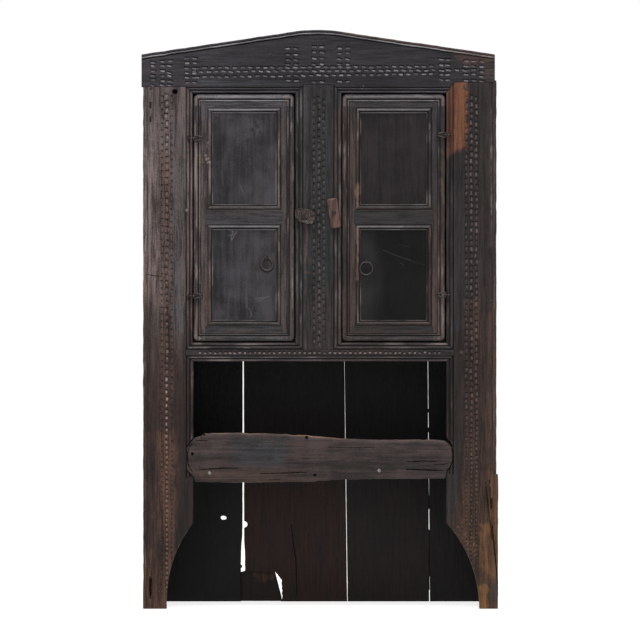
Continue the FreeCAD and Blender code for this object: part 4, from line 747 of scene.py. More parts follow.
# Columns: where they stand, and the heights of the marks in them
PEDIMENT_COLUMNS = (
    ((153,), (61.5, 65, 70, 74.5, 79, 84.5)), ((162.5,), (60, 65, 70, 75, 80, 84)),
    ((169.5,), (60, 65, 72, 75, 80, 84)), ((187, 194.5), (57.5, 62, 67, 72, 76.5, 81.5)),
    ((288, 296), (47.5, 53.7, 58.7, 63.3, 79.7)), ((314.5, 322), (45.7, 51, 57.3, 63.3, 81)),
    ((340, 347.5), (47.2, 52, 58.3, 63.3, 80.5)), ((441.5, 447.5), (58.5, 64, 69, 73.5, 79)),
    ((466, 473.5), (60, 65, 69, 73.5, 79.5)), ((482,), (61, 66, 71, 75.5, 80)),
)
PEDIMENT_MARK_PITCH = 7.5
PEDIMENT_MARK_WIDTH = 18.5
PEDIMENT_MARK_LENGTH = 7
PEDIMENT_MARK_DEPTH = 3.0
PEDIMENT_AGE = (
    ("bare", ((450, 51), (468, 68), (510, 58), (510, 40)), 0.36, 6, 5, 56),
    ("bare", ((448, 50), (453, 50), (469, 67), (466, 68)), 0.4, 3, 3, 62),
    ("specks", (271, 53), "wear", (4, 6), 7, 3, 0.8, 58),
    ("specks", (363, 88), "wear", (3, 5), 5, 2.5, 0.8, 59),
    ("warm", (483, 50, 510, 90), 0.6, 10, 8, 60),
    ("shade", (130, 40, 226, 90), 0.4, 40, 14, 63),
    ("shade", (258, 73, 442, 90), -0.3, 10, 8, 64),
    ("cool", ((200, 86), (290, 86), (290, 80), (200, 80)), 0.6, 6, 5, 61),
)
# Wear of the raking bead, wear and painted highlight of the small bead below it, and wear of the
# edge over the doors
RAKE_WEAR, SMALL_RAKE_WEAR_AND_HIGHLIGHT, LOWER_WEAR = 0.35, 1.1, 0.5
RAKE_DEPTH, SMALL_RAKE_DEPTH = 2.2, 2.6


def pediment_marks(surface, at):
    """Rows of short marks along the pediment, and columns of them across it."""
    rng = np.random.default_rng(51)

    def mark(x, y):
        high, right = at(x, y)
        surface.gouge(
            (high + rng.normal(0, 0.5), right), LEFTWARDS + rng.normal(0.12, 0.1),
            PEDIMENT_MARK_LENGTH * rng.uniform(0.85, 1.15), PEDIMENT_MARK_WIDTH * rng.uniform(0.8, 1.05),
            PEDIMENT_MARK_DEPTH * rng.uniform(0.7, 1.1), curve=0.05, bright=rng.uniform(0.32, 0.6))

    for first, last, start, end in PEDIMENT_ROWS:
        place = first
        while place < last:
            mark(place, start + (end - start) * (place - first) / (last - first))
            place += PEDIMENT_MARK_PITCH * rng.uniform(0.95, 1.05)
    for places, levels in PEDIMENT_COLUMNS:
        for place in places:
            for level in levels:
                mark(place + rng.normal(0, 0.3), level)


def make_pediment():
    """Gabled head of the front, with its raking moulding and rows of short marks."""
    rows = np.array(spread(PEDIMENT_LEFT, PEDIMENT_RIGHT, ROW_STEP))
    shoulder = HALF_OPENING + STILE_BAND
    left, right, seat = SHOULDERS[-1] - HEAD, SHOULDERS[1] - HEAD, MUNTIN_SHOULDER - HEAD
    low = np.interp(
        rows,
        [-shoulder, -HALF_OPENING, MUNTIN_LEFT, MUNTIN_LEFT + MUNTIN_BAND, MUNTIN_RIGHT - MUNTIN_BAND,
         MUNTIN_RIGHT, HALF_OPENING, shoulder],
        [left, 0, 0, seat, seat, 0, 0, right])
    high = gable(rows) - ragged(rows, 55, 1.2)
    rake_end = RAKE_BEAD + RAKE_SMALL_BEAD
    rake = (EDGE_LINES[:4] + [2.8, 4, 5.5, 6.8] + bead_lines(RAKE_BEAD, RAKE_SMALL_BEAD)
            + groove_lines(rake_end, RAKE_GROOVE))
    fixed = double_bead_lines(left) + spread(left + 2, GABLE_ENDS + GABLE_RISE - 20, FINE)
    across = make_grid(EDGE_LINES[:3], fixed, rake, low, high)
    surface = Surface(across, rows, low, high)
    surface.double_bead(across, left, where=np.abs(surface.along) < shoulder)
    surface.bead(surface.from_high, 0, RAKE_BEAD, RAKE_DEPTH)
    surface.bead(surface.from_high, RAKE_BEAD, RAKE_SMALL_BEAD, SMALL_RAKE_DEPTH)
    surface.groove(surface.from_high, rake_end, RAKE_GROOVE)
    on_bead = surface.from_high < RAKE_BEAD
    surface.wear *= np.where(
        on_bead, RAKE_WEAR, np.where(surface.from_high < rake_end, SMALL_RAKE_WEAR_AND_HIGHLIGHT, LOWER_WEAR))
    at = lambda x, y: (height_at(y) - HEAD, across_at(x))
    pediment_marks(surface, at)
    surface.age(PEDIMENT_AGE, at)
    surface.lift("warm", on_bead * (surface.along > 60) * 0.9)
    joint = (np.abs(rows) > HALF_OPENING - 1) | ((rows > MUNTIN_LEFT - 1) & (rows < MUNTIN_RIGHT + 1))
    surface.weather(57, joint_low=joint, gleam=0.7, edge_wear=0.25)
    add_board("carved_pediment", surface, BOARD_THICKNESS, lying(0, HEAD), "pediment",
              "pediment_board")


# Outline of the slat: across, and height above its lower edge
SLAT_TOP = (
    (-388, 105), (-367, 133), (-346, 137), (-335, 146.4), (-216, 147), (-86, 142.4), (30, 135),
    (73, 131), (233, 126.4), (320, 128.5), (367, 125), (388, 105),
)
SLAT_BOTTOM = (
    (-388, 38), (-367, 15), (-361, 0.6), (-172, 0), (-28, 2.9), (73, 8.8), (175, 11), (365, 11),
    (367, 26), (388, 61),
)
SLAT_AGE = (
    ("crack", ((256, 474), (285, 473), (313, 472)), 1.3, 5, 63),
    ("crack", ((192, 441), (200, 440.5), (212, 441)), 1.0, 3, 60),
    ("crack", ((268, 480), (275, 480), (281, 480)), 0.9, 3, 59),
    ("crack", ((197, 470), (225, 468), (240, 468.5)), 1.5, 4, 64),
    ("crack", ((403, 462), (425, 461), (440, 462)), 1.6, 5, 65),
    ("crack", ((403, 469), (425, 470), (449, 471)), 1.8, 6, 66),
    ("crack", ((320, 447), (350, 448), (385, 447)), 0.9, 2, 67),
    ("crack", ((443, 438), (447, 440), (451.5, 446), (452.7, 453), (452.5, 462), (449.5, 468),
               (443, 473)), 2.0, 4, 53),
    ("crack", ((194, 441), (189.5, 447), (187.4, 454), (188.5, 466), (194, 474)), 1.3, 3, 54),
    ("crack", ((428, 464), (444, 464.5), (452, 462)), 1.1, 3, 55),
    ("hole", (192.3, 454), 4, 9),
    ("hole", (306.5, 437.5), 4, 9),
    ("hole", (315, 475), 3.5, 9),
    ("hole", (204, 434.5), 3, 9),
    ("cool", ((232, 438), (288, 440), (286, 466), (236, 466)), 0.9, 12, 10, 57),
    ("warm", ((186, 466), (300, 470), (300, 485), (190, 485)), 0.7, 8, 8, 58),
    ("shade", (186, 430, 455, 455), 0.16, 14, 8, 51),
    ("shade", (222, 456, 292, 492), -0.15, 14, 8, 52),
)

# Where the slat's ends sit in the notches, the painted shade round its rim there, and the painted
# highlight on its lit upper edge
SLAT_SEAT = (360, 365)
SLAT_SHADED_RIM = (6.2, 3.4)
SLAT_LIT_EDGE = (4.5, 2.2)


def make_slat():
    """The worn slat, with rounded edges and long cracks along its grain."""
    end = HALF_OPENING + NOTCH_DEPTH - 0.3
    rows = np.array(spread(-end, end, ROW_STEP))
    low = np.interp(rows, *zip(*SLAT_BOTTOM)) + ragged(rows, 61, 2.0, 18) + 0.5
    high = np.interp(rows, *zip(*SLAT_TOP)) - ragged(rows, 62, 2.4, 25) - 0.5
    across = make_grid(EDGE_LINES + [5], spread(4, 140, FINE), EDGE_LINES + [5.5, 8], low, high)
    surface = Surface(across, rows, low, high)
    surface.age(SLAT_AGE, lambda x, y: (height_at(y) - SLAT_LOW, across_at(x)))
    # A painted highlight in the colour of unpainted wood along the lit upper edge.
    lit = smooth_step(surface.from_high, *SLAT_LIT_EDGE) * (surface.from_high > 0.4)
    surface.lift("bare", 0.75 * lit * (0.6 + 0.4 * noise(surface.along / 40, 0, 56)))
    # Painted shade where the slat sits in the notches: round its rim there and at its very ends.
    seat = smooth_step(np.abs(surface.along), *SLAT_SEAT)
    rim = smooth_step(np.minimum(surface.from_low, surface.from_high), *SLAT_SHADED_RIM)
    surface.lift("dirt", seat * rim)
    surface.lift("dirt", smooth_step(np.abs(surface.along), end - 4.5, end - 2.5))
    surface.depth += 1.0 * np.clip(noise(surface.across / 5, surface.along / 150, 68), 0, 1)
    surface.depth += 3.5 * (1 - smooth_step(surface.from_high, 0, 12)) ** 2
    surface.weather(69, amount=0.8)
    add_board("worn_slat", surface, BOARD_THICKNESS, lying(0, SLAT_LOW), "slat", "lower_slat")


# Doors

DOOR_EDGE_BAND = 34
PANEL_SIGHT_DEPTH = 5
PANEL_FILLET = 2.6
PANEL_BEAD = 10
PANEL_BAND = 20
FINE_QUIRK = 1.4
CREST = 0.4
DOOR_BEAD = 14
DOOR_SMALL_BEAD = 4.5
CORNER_ROUNDING = 13


def panel_moulding(surface, distance, where=True):
    """Low fillet, quirk and bead, from a panel up to the flat of the door's frame."""
    on_fillet = (distance <= PANEL_FILLET) & where
    surface.depth = np.where(on_fillet, PANEL_SIGHT_DEPTH, surface.depth)
    # The fillet beside a panel is lightened as a painted highlight.
    surface.wear = np.where(on_fillet, 0.9, surface.wear)
    surface.groove(distance, PANEL_FILLET, QUIRK, PANEL_SIGHT_DEPTH + 1, where)
    start = PANEL_FILLET + QUIRK
    surface.bead(distance, start, PANEL_BEAD, PANEL_SIGHT_DEPTH, where)
    crest = (distance > start + PANEL_BEAD / 2) & (distance < start + PANEL_BEAD) & where
    surface.depth = np.where(crest, surface.depth * CREST, surface.depth)
    surface.groove(distance, start + PANEL_BEAD, FINE_QUIRK, 2, where)


def panel_lines():
    bead = PANEL_FILLET + QUIRK
    return ([0, PANEL_FILLET / 2] + groove_lines(PANEL_FILLET, QUIRK) + bead_lines(bead, PANEL_BEAD)[1:]
            + groove_lines(bead + PANEL_BEAD, FINE_QUIRK) + [PANEL_BAND + 0.2])


def door_edge(surface, distance, where=True):
    """Round outer edge of a door's frame, with a narrow bead beside it."""
    surface.bead(distance, 0, DOOR_BEAD, where=where)
    surface.groove(distance, DOOR_BEAD, QUIRK, 2.4, where)
    surface.bead(distance, DOOR_BEAD + QUIRK, DOOR_SMALL_BEAD, 1.6, where)
    surface.groove(distance, DOOR_BEAD + QUIRK + DOOR_SMALL_BEAD, FINE_QUIRK, 1.6, where)


def door_edge_lines():
    small = DOOR_BEAD + QUIRK
    return (EDGE_LINES[:-1] + bead_lines(0, DOOR_BEAD)[2:] + groove_lines(DOOR_BEAD, QUIRK)
            + bead_lines(small, DOOR_SMALL_BEAD) + groove_lines(small + DOOR_SMALL_BEAD, FINE_QUIRK))


def from_corner(across, ends):
    """Distance from the nearer of two edges that meet in a rounded corner."""
    out, up = np.clip(CORNER_ROUNDING - across, 0, None), np.clip(CORNER_ROUNDING - ends, 0, None)
    return np.where((out > 0) & (up > 0), CORNER_ROUNDING - np.hypot(out, up), np.minimum(across, ends))


def rail_spans(name):
    """Lower edge, upper edge and which edges meet a panel, for each rail of a door."""
    facing = {"bottom_rail": (False, True), "lock_rail": (True, True), "top_rail": (True, False)}
    spans = {}
    for rail, meets in facing.items():
        low, high = box_mm(f"{name}_door_{rail}")
        spans[rail] = (low[2], high[2], *meets)
    return spans


def sight_line(rows, name, member):
    """Inner edge of a door's stile: full width beside the panels, cut back where rails meet it."""
    heights, edges = [], []
    for low, high, below, above in sorted(rail_spans(name).values()):
        if below:
            heights += [low, low + PANEL_BAND]
            edges += [member, DOOR_EDGE_BAND]
        if above:
            heights += [high - PANEL_BAND, high]
            edges += [DOOR_EDGE_BAND, member]
    return np.interp(rows, heights, edges)


def rounded_corner(rows, level, radius):
    """How far an edge lies back beside a lower corner that is worn round."""
    up = np.clip(rows - level, 0, radius)
    return radius - np.sqrt(radius ** 2 - (radius - up) ** 2)


# Wear of the doors' stiles. Paint is rubbed off beside the left door's hinges, and worn through on
# the edge of the right door that hands have pulled.
DOOR_AGE = {
    "left_door_hinge_stile": (
        ("bare", (206.5, 262, 210, 330), 0.4, 4, 4, 201),
        ("bare", (206.5, 143, 209.5, 175), 0.3, 4, 4, 206),
        ("specks", (207, 160), "chip", (4, 9), 7, 3, 0.9, 202),
        ("specks", (209, 148), "chip", (3, 7), 4, 3, 0.8, 203),
        ("specks", (200, 152), "bare", (10, 18), 12, 2.5, 0.7, 207),
        ("warm", (190, 120, 214, 345), 0.45, 16, 12, 204),
        ("shade", (197, 80, 220, 352), 0.35, 6, 5, 215),
        ("tan", (195, 305, 200, 335), 0.4, 6, 6, 216),
        ("tan", (205, 270, 209.5, 330), 0.45, 4, 4, 217),
        # Dark halos round the hinge eyes are painted shadow of the hinges, and the small light spots
        # beside them painted highlights.
        ("blot", (196, 139.5), "dirt", (14, 13), 0.55, 218),
        ("blot", (201, 139.5), "wear", (3.5, 3.5), 0.9, 219, 0.1),
        ("blot", (196, 297.5), "dirt", (14, 13), 0.55, 218),
        ("blot", (201, 297.5), "wear", (3.5, 3.5), 0.9, 219, 0.1),
    ),
    "left_door_lock_stile": (
        ("warm", (276, 120, 300, 345), 0.45, 14, 12, 205),
        ("wear", (278, 150, 281, 215), 0.7, 3, 3, 206),
    ),
    "right_door_lock_stile": (
        ("bare", (355.5, 182, 359.5, 209), 0.65, 4, 3, 207),
        ("chip", (356.5, 190, 358, 208), 0.5, 3, 3, 213),
        ("bare", (356, 224, 359, 280), 0.5, 4, 3, 208),
        ("chip", (356.8, 226, 358, 262), 0.5, 3, 3, 214),
        ("chip", (345.5, 186, 347, 196), 0.6, 2, 2, 209),
        ("warm", (338, 110, 364, 350), 0.6, 16, 12, 210),
        ("shade", (336, 80, 366, 352), 0.35, 6, 5, 220),
    ),
    "right_door_hinge_stile": (
        ("bare", (440, 150, 450, 205), 0.35, 6, 6, 211),
        ("warm", (424, 205, 450, 350), 0.7, 16, 12, 212),
        ("shade", (420, 80, 432, 310), 0.25, 6, 5, 221),
        ("shade", (432, 80, 450, 345), 0.6, 6, 5, 222),
    ),
}
# How much wider than its solid a stile of a door is, towards the gap
DOOR_GROWTH = {"left_door_hinge_stile": HINGE_SIDE_SHIFT, "right_door_lock_stile": 1.0}
DOOR_ROW_STEP = 1.8
DOOR_WEATHER = {"amount": 0.4, "joint_dirt": 0.3, "joint_rounding": 0.6}
TOP_RAIL_TONE = 0.3
# Factor on the beads of the top rails that strengthens their painted highlight.
TOP_RAIL_GLEAM = 1.1
# Share of the beads' wear and painted highlight that is left where they face downwards, and the
# warm tint there
LOWER_BEAD_WEAR = 0.6
RIDGE_WARMTH = 0.7
BOTTOM_RAIL_WARMTH = 0.55


def door_rows(foot, head):
    """Rows of a door's stile, closer where its corners are rounded."""
    ends = sorted(door_edge_lines() + spread(0.5, DOOR_EDGE_BAND, 0.9))
    middle = spread(foot + DOOR_EDGE_BAND + 1, head - DOOR_EDGE_BAND - 1, DOOR_ROW_STEP)
    return np.array(sorted([foot + line for line in ends] + [head - line for line in ends] + middle))


def make_door_stile(name, part, seed, wear_back):
    """Upright of a door: across runs from its outer edge to the panels."""
    node = f"{name}_door_{part}"
    (left, face, foot), (right, rear, head) = box_mm(node)
    grown = DOOR_GROWTH.get(node, 0)
    member = right - left + grown
    outer_is_low = (part == "hinge_stile") == (name == "left")
    heading = 1 if outer_is_low else -1
    outer = (left if outer_is_low else right) - heading * grown
    rows = door_rows(foot, head)
    low = ragged(rows, seed, wear_back, 12)
    for level, height in ((foot, rows), (-head, -rows)):
        low = low + rounded_corner(height, level, CORNER_ROUNDING)
    high = sight_line(rows, name, member)
    fixed = door_edge_lines() + spread(DOOR_BEAD + 10, member - PANEL_BAND, COARSE / 2)
    fixed += [member - line for line in panel_lines()]
    across = make_grid(EDGE_LINES[:4], fixed, EDGE_LINES[:2], low, high)
    surface = Surface(across, rows, low, high)
    ends = np.minimum(surface.along - foot, head - surface.along)
    door_edge(surface, from_corner(across, ends))
    panel_moulding(surface, member - across)
    surface.age(DOOR_AGE[node], lambda x, y: (heading * (across_at(x) - outer), height_at(y)))
    at_top = smooth_step(head - surface.along, DOOR_EDGE_BAND + 3, DOOR_EDGE_BAND - 3)
    surface.tone += TOP_RAIL_TONE * at_top
    surface.weather(seed, joint_high=high < member - 0.01, edge_wear=0.2, gleam=0.25 + 0.55 * at_top,
                    **DOOR_WEATHER)
    add_board(f"{node}_worn", surface, rear - face, upright(heading, heading * outer), f"{name}_door",
              node, f"{name}_door")


def dress_door_rail(surface, part, height, above, seed):
    """Tint, worn paint and painted highlights of a door's rail, by where it sits."""
    ridge = (height - surface.across < PANEL_BAND) & above
    surface.wear = np.where(ridge, LOWER_BEAD_WEAR * surface.wear, surface.wear)
    surface.warm = np.where(ridge, RIDGE_WARMTH, surface.warm)
    if part == "bottom_rail":
        surface.wear[surface.across < DOOR_EDGE_BAND] *= LOWER_BEAD_WEAR
        blotches = noise(surface.along / 60, surface.across / 12, seed)
        surface.warm += BOTTOM_RAIL_WARMTH * smooth_step(blotches, -0.6, 0.6)
    if part == "top_rail":
        surface.tone += TOP_RAIL_TONE
        surface.wear *= TOP_RAIL_GLEAM


def make_door_rail(name, part, seed):
    """Cross member of a door, between the outer mouldings of its stiles."""
    node = f"{name}_door_{part}"
    (_, face, _), (_, rear, _) = box_mm(node)
    low_level, high_level, below, above = rail_spans(name)[part]
    stiles = [box_mm(f"{name}_door_{stile}") for stile in ("hinge_stile", "lock_stile")]
    grown = sum(width for stile, width in DOOR_GROWTH.items() if stile.startswith(name))
    left = min(low[0] for low, _ in stiles) + DOOR_EDGE_BAND - grown
    right = max(high[0] for _, high in stiles) - DOOR_EDGE_BAND
    middle, half = (left + right) / 2, (right - left) / 2
    height = high_level - low_level
    rows = np.array(spread(-half, half, DOOR_ROW_STEP))
    mitre = np.interp(np.abs(rows), [half - PANEL_BAND, half], [0, PANEL_BAND])
    low, high = mitre * below, height - mitre * above
    fixed = list(panel_lines() if below else door_edge_lines())
    fixed += [height - line for line in (panel_lines() if above else door_edge_lines())]
    fixed += spread(PANEL_BAND + 2, height - PANEL_BAND - 2, COARSE / 2)
    across = make_grid(EDGE_LINES[:2], fixed, EDGE_LINES[:2], low, high)
    surface = Surface(across, rows, low, high)
    (panel_moulding if below else door_edge)(surface, across)
    (panel_moulding if above else door_edge)(surface, height - across)
    dress_door_rail(surface, part, height, above, seed)
    joint = mitre > 0.01
    surface.weather(seed, joint_low=joint & below, joint_high=joint & above, gleam=0.75, **DOOR_WEATHER)
    add_board(f"{node}_worn", surface, rear - face, lying(middle, low_level), f"{name}_door_rail",
              node, f"{name}_door")


# Back

PLANKS = ("left", "centre_left", "centre_right", "right")
PLANK_GAPS = {"left": 9, "centre_left": 7, "centre_right": 5}
# Where the gaps between planks are pinched shut: heights, and share of the gap that is closed.
GAP_PINCHES = {
    "left": ((0, 0), (150, 0.05), (200, 0.45), (240, 0.5), (900, 0.46), (1470, 0.3), (1490, 1), (1600, 1)),
    "centre_left": (
        (0, 0.68), (300, 0.7), (500, 0.76), (640, 0.8), (790, 0.8), (812, 1), (1168, 1), (1186, 0.86),
        (1262, 0.86), (1275, 1), (1600, 1),
    ),
    "centre_right": (
        (0, 0.5), (31, 0.5), (36, 0.8), (74, 0.8), (80, 1), (210, 1), (216, 0.6), (274, 0.6), (278, 1),
        (311, 1), (315, 0.85), (380, 0.75), (502, 0.68), (506, 1), (515, 1), (519, 0.7),
        (562, 0.7), (565, 1), (571, 1), (574, 0.7), (1470, 0.6), (1490, 1), (1600, 1),
    ),
}
# Wear of the planks' edges: how far, and along what length
PLANK_WEAR = (0.9, 16)
# The left edge of the broken plank: how far it is broken back, by height, the rows that the break
# needs, how rough it is and up to where, its reach at the floor in the solid, the fine part of its
# grid, a bite (height and radius), and its shift above the bite and where that begins and is full
BROKEN = "centre_left"
BREAK_LINE = ((0, 106), (12, 111), (62, 109), (86, 92), (88, 92), (88.4, 0))
BREAK_ROWS = [86, 88, 88.4]
BREAK_ROUGHNESS, BREAK_ROUGH_BELOW = 1.5, 87
BREAK_WIDTH_AT_FLOOR = 112
BREAK_FINE = (-92, -62, 1.1)
BITE = (229, 10)
EDGE_SHIFT = 2.5
EDGE_SHIFT_SPAN = (130, 200)
# How much smaller the back is drawn in the photograph, the row of its foot, and a crack in it there
BACK_SCALE = 1.03
BACK_FOOT_ROW = 601.5
BACK_AGE = (("crack", ((291, 520), (293, 540), (296, 560), (297, 600)), 1.3, 2.5, 117),)
# The knot hole of the left plank: its middle, its reach, and how far its cutter stands out
KNOT = (-287, 249)
KNOT_REACH = (8.5, 6.5)
CUTTER_MARGIN = 5


def gap_closing(place_name, rows):
    """Share of the gap after a plank that is closed, at every height."""
    if place_name not in GAP_PINCHES:
        return 0 * rows
    return np.interp(rows, *zip(*GAP_PINCHES[place_name]))


def plank_edge(name, pick):
    """Places across at the foot and at the top of a plank's left or right edge."""
    points = np.array([vertex.co for vertex in frame["nodes"][name].data.vertices]) / MM
    top = points[points[:, 2] > points[:, 2].max() - 0.1]
    low = points[points[:, 2] < 0.1]
    return pick(low[:, 0]), pick(top[:, 0])


def break_back(rows, seed):
    """How far the left edge of the broken plank lies back from its line."""
    level, radius = BITE
    rough = BREAK_ROUGHNESS * noise(rows / 4, 0 * rows, seed) * (rows < BREAK_ROUGH_BELOW)
    bite = np.sqrt(np.clip(radius ** 2 - (rows - level) ** 2, 0, None))
    shift = EDGE_SHIFT * smooth_step(rows, *EDGE_SHIFT_SPAN)
    return np.interp(rows, *zip(*BREAK_LINE)) + rough + bite - shift


def plank_sides(place_name, rows, seed):
    """Left and right edge of a plank of the back at every row."""
    (low_foot, low_top), (high_foot, high_top) = (
        plank_edge(f"back_plank_{place_name}", pick) for pick in (np.min, np.max))
    broken = place_name == BROKEN
    low_foot -= BREAK_WIDTH_AT_FLOOR * broken
    order = PLANKS.index(place_name)
    before = gap_closing(PLANKS[order - 1] if order else None, rows)
    after = gap_closing(place_name, rows)
    share = rows / rows[-1]
    low = low_foot + (low_top - low_foot) * share + ragged(rows, seed, *PLANK_WEAR) * (1 - before)
    high = high_foot + (high_top - high_foot) * share - ragged(rows, seed + 1, *PLANK_WEAR) * (1 - after)
    high += after * PLANK_GAPS.get(place_name, 0)
    return low + (break_back(rows, seed + 5) if broken else 0), high


def make_back_plank(place_name, seed):
    """An upright plank of the back with ragged edges."""
    name = f"back_plank_{place_name}"
    broken = place_name == BROKEN
    rows = np.array(sorted(
        spread(0, box_mm(name)[1][2], BACK_ROW_STEP) + (BREAK_ROWS if broken else [])))
    low, high = plank_sides(place_name, rows, seed)
    fixed = spread(low.min() + 6, high.min() - 6, 4) + (spread(*BREAK_FINE) if broken else [])
    surface = Surface(make_grid(EDGE_LINES, fixed, EDGE_LINES, low, high), rows, low, high)
    if broken:
        surface.age(BACK_AGE, lambda x, y: (
            across_at(x) * BACK_SCALE, (BACK_FOOT_ROW - y) * PHOTO_PIXEL * BACK_SCALE))
    surface.weather(seed + 2, amount=0.8)
    return add_board(f"{name}_worn", surface, BACK_THICKNESS, upright(1, 0, BACK_FRONT),
                     f"back_{place_name}", name)


def bore(piece, centre, reach, span, seed):
    """Cut a ragged hole right through a board from front to back."""
    cutter_mesh = bpy.data.meshes.new("cutter")
    turns = np.linspace(0, 2 * math.pi, 29)[:-1]
    swell = 1 + 0.14 * noise(np.cos(turns) * 1.7, np.sin(turns) * 1.7, seed)
    ring = np.column_stack([
        centre[0] + reach[0] * swell * np.cos(turns), centre[1] + reach[1] * swell * np.sin(turns)])
    points = [(x * MM, y * MM, z * MM) for y in span for x, z in ring]
    count = len(ring)
    faces = [list(range(count)), list(range(count, 2 * count))[::-1]]
    faces += [[i, i + count, (i + 1) % count + count, (i + 1) % count] for i in range(count)]
    cutter_mesh.from_pydata(points, [], faces)
    tidy_normals(cutter_mesh)
    cutter = bpy.data.objects.new("cutter", cutter_mesh)
    bpy.context.scene.collection.objects.link(cutter)
    modifier = piece.modifiers.new("hole", "BOOLEAN")
    modifier.object = cutter
    modifier.solver = "EXACT"
    bpy.context.view_layer.update()
    graph = bpy.context.evaluated_depsgraph_get()
    mesh = bpy.data.meshes.new_from_object(piece.evaluated_get(graph))
    piece.modifiers.clear()
    piece.data = mesh
    bpy.data.objects.remove(cutter)
    tidy_normals(mesh)


# Upper edge of the board behind the broken corner, and how far its right tip is left out
PATCH_TOP = ((-249, 86), (-224, 90), (-214, 117), (-140.8, 118), (-125.8, 60), (-110.8, 0))
PATCH_TIP = 3


def make_patch_board():
    """Short board behind the broken corner, itself broken at its upper left."""
    (left, face, _), (right, rear, _) = box_mm("back_patch_board")
    rows = np.array(spread(left, right - PATCH_TIP, ROW_STEP))
    high = np.interp(rows, *zip(*PATCH_TOP)) - ragged(rows, 141, 1.0, 9)
    low = 0 * rows
    across = make_grid(EDGE_LINES, spread(5, 112, 4), EDGE_LINES, low, high)
    surface = Surface(across, rows, low, high)
    surface.blot("warm", (80, -165), (26, 34), 0.5, 143)
    surface.weather(142, amount=0.8)
    add_board("patch_board_worn", surface, rear - face, lying(0, 0, face), "back", "back_patch_board")


# Cracks of the outer boards: name of the board, then places along it and across it
CASE_CRACKS = {
    "left_side_front_plank": (((0, 60), (180, 66), (420, 63)), ((1514, 128), (1380, 124), (1250, 127))),
    "left_side_rear_plank": (((1514, 70), (1300, 76), (1120, 73)), ((300, 120), (420, 122), (520, 119))),
    "right_side_front_plank": (((0, 118), (150, 112), (330, 116)), ((1514, 52), (1420, 55), (1290, 50))),
    "right_side_rear_plank": (((0, 84), (260, 90), (470, 86)), ((1514, 40), (1440, 44), (1330, 42))),
    "top_front_board": (((-513, 92), (-380, 96), (-240, 93)), ((513, 140), (390, 136), (300, 139))),
    "top_rear_board": (((-513, 60), (-420, 64), (-330, 62)), ((513, 110), (430, 106), (290, 111))),
}
CASE_CRACK_WIDTH, CASE_CRACK_DEPTH = 3.2, 5
# Dirt at the foot or the left end of a board: how far it reaches, how dark, how soft and how ragged
CASE_STAIN_REACH = 160
CASE_STAIN = (-0.25, 60, 20, 5)


def case_place(name, low_corner, high_corner):
    """Where a side plank or top board starts and ends, its thickness and its points."""
    if name.startswith("top"):
        face = high_corner[2]
        place = lambda across, along, depth: (along, low_corner[1] + across, face - depth)
        return low_corner[0], high_corner[0], face - low_corner[2], place
    side = -1 if name.startswith("left") else 1
    face = (high_corner if side > 0 else low_corner)[0]
    place = lambda across, along, depth: (face - side * depth, low_corner[1] + across, along)
    return low_corner[2], high_corner[2], high_corner[0] - low_corner[0], place


def make_case_board(name, seed):
    """A side plank or top board with a weathered outer face."""
    low_corner, high_corner = box_mm(name)
    width = high_corner[1] - low_corner[1]
    start, end, thickness, place = case_place(name, low_corner, high_corner)
    rows = np.array(spread(start, end, CASE_ROW_STEP))
    low, high = ragged(rows, seed, 0.6, 20), width - ragged(rows, seed + 1, 0.6, 20)
    across = make_grid(EDGE_LINES, spread(5, width - 5, 3), EDGE_LINES, low, high)
    surface = Surface(across, rows, low, high)
    for number, points in enumerate(CASE_CRACKS[name]):
        places = [(off, run) for run, off in points]
        surface.crack(places, CASE_CRACK_WIDTH, CASE_CRACK_DEPTH, seed + 2 + number)
    ends = np.minimum(surface.along - start, end - surface.along)
    surface.depth += 1.5 * (1 - smooth_step(ends, 0, 6))
    reach = start + CASE_STAIN_REACH
    surface.shade([(0, start), (width, start), (width, reach), (0, reach)], *CASE_STAIN)
    surface.depth += 0.9 * np.clip(surface.uneven((24, 220), seed + 5), 0, 1)
    surface.weather(seed + 6, amount=0.8)
    add_board(f"{name}_worn", surface, thickness, place, "top" if name.startswith("top") else "side",
              name)


# Turn buttons, measured from their nails

# The left button: a block with the rings of its end grain standing out
LEFT_BLOCK_ENDS = (-23.6, 35.2)
LEFT_BLOCK_TOP = ((-23.8, 15.7), (-5.3, 17.4), (12.4, 14.8), (32.9, 7), (35.4, -7))
LEFT_BLOCK_BOTTOM = ((-23.8, -9.8), (-16.7, -17.4), (8.9, -28), (27.6, -26.6), (35.4, -7))
LEFT_BLOCK_EDGE = [0, 0.3, 0.8, 1.5, 2.4, 3.6]
RING_DEPTH = 2.2
RING_PITCH = 3.4
# The right button: a bar with its corners cut off and a wide bevel
BAR_FOOT, BAR_HEAD = -45.3, 41
BAR_HALF = 15.5
BAR_CORNER = 4
BAR_BEVEL = 3
BAR_EDGE = [0, 0.4, 1.0, 2.0, 3.0, 4.0]
BUTTON_REST = math.radians(8)


def joint_centre(name):
    joint = next(joint for joint in frame["joints"] if joint["name"] == name)
    return [value / MM for value in joint["pos_m"]]


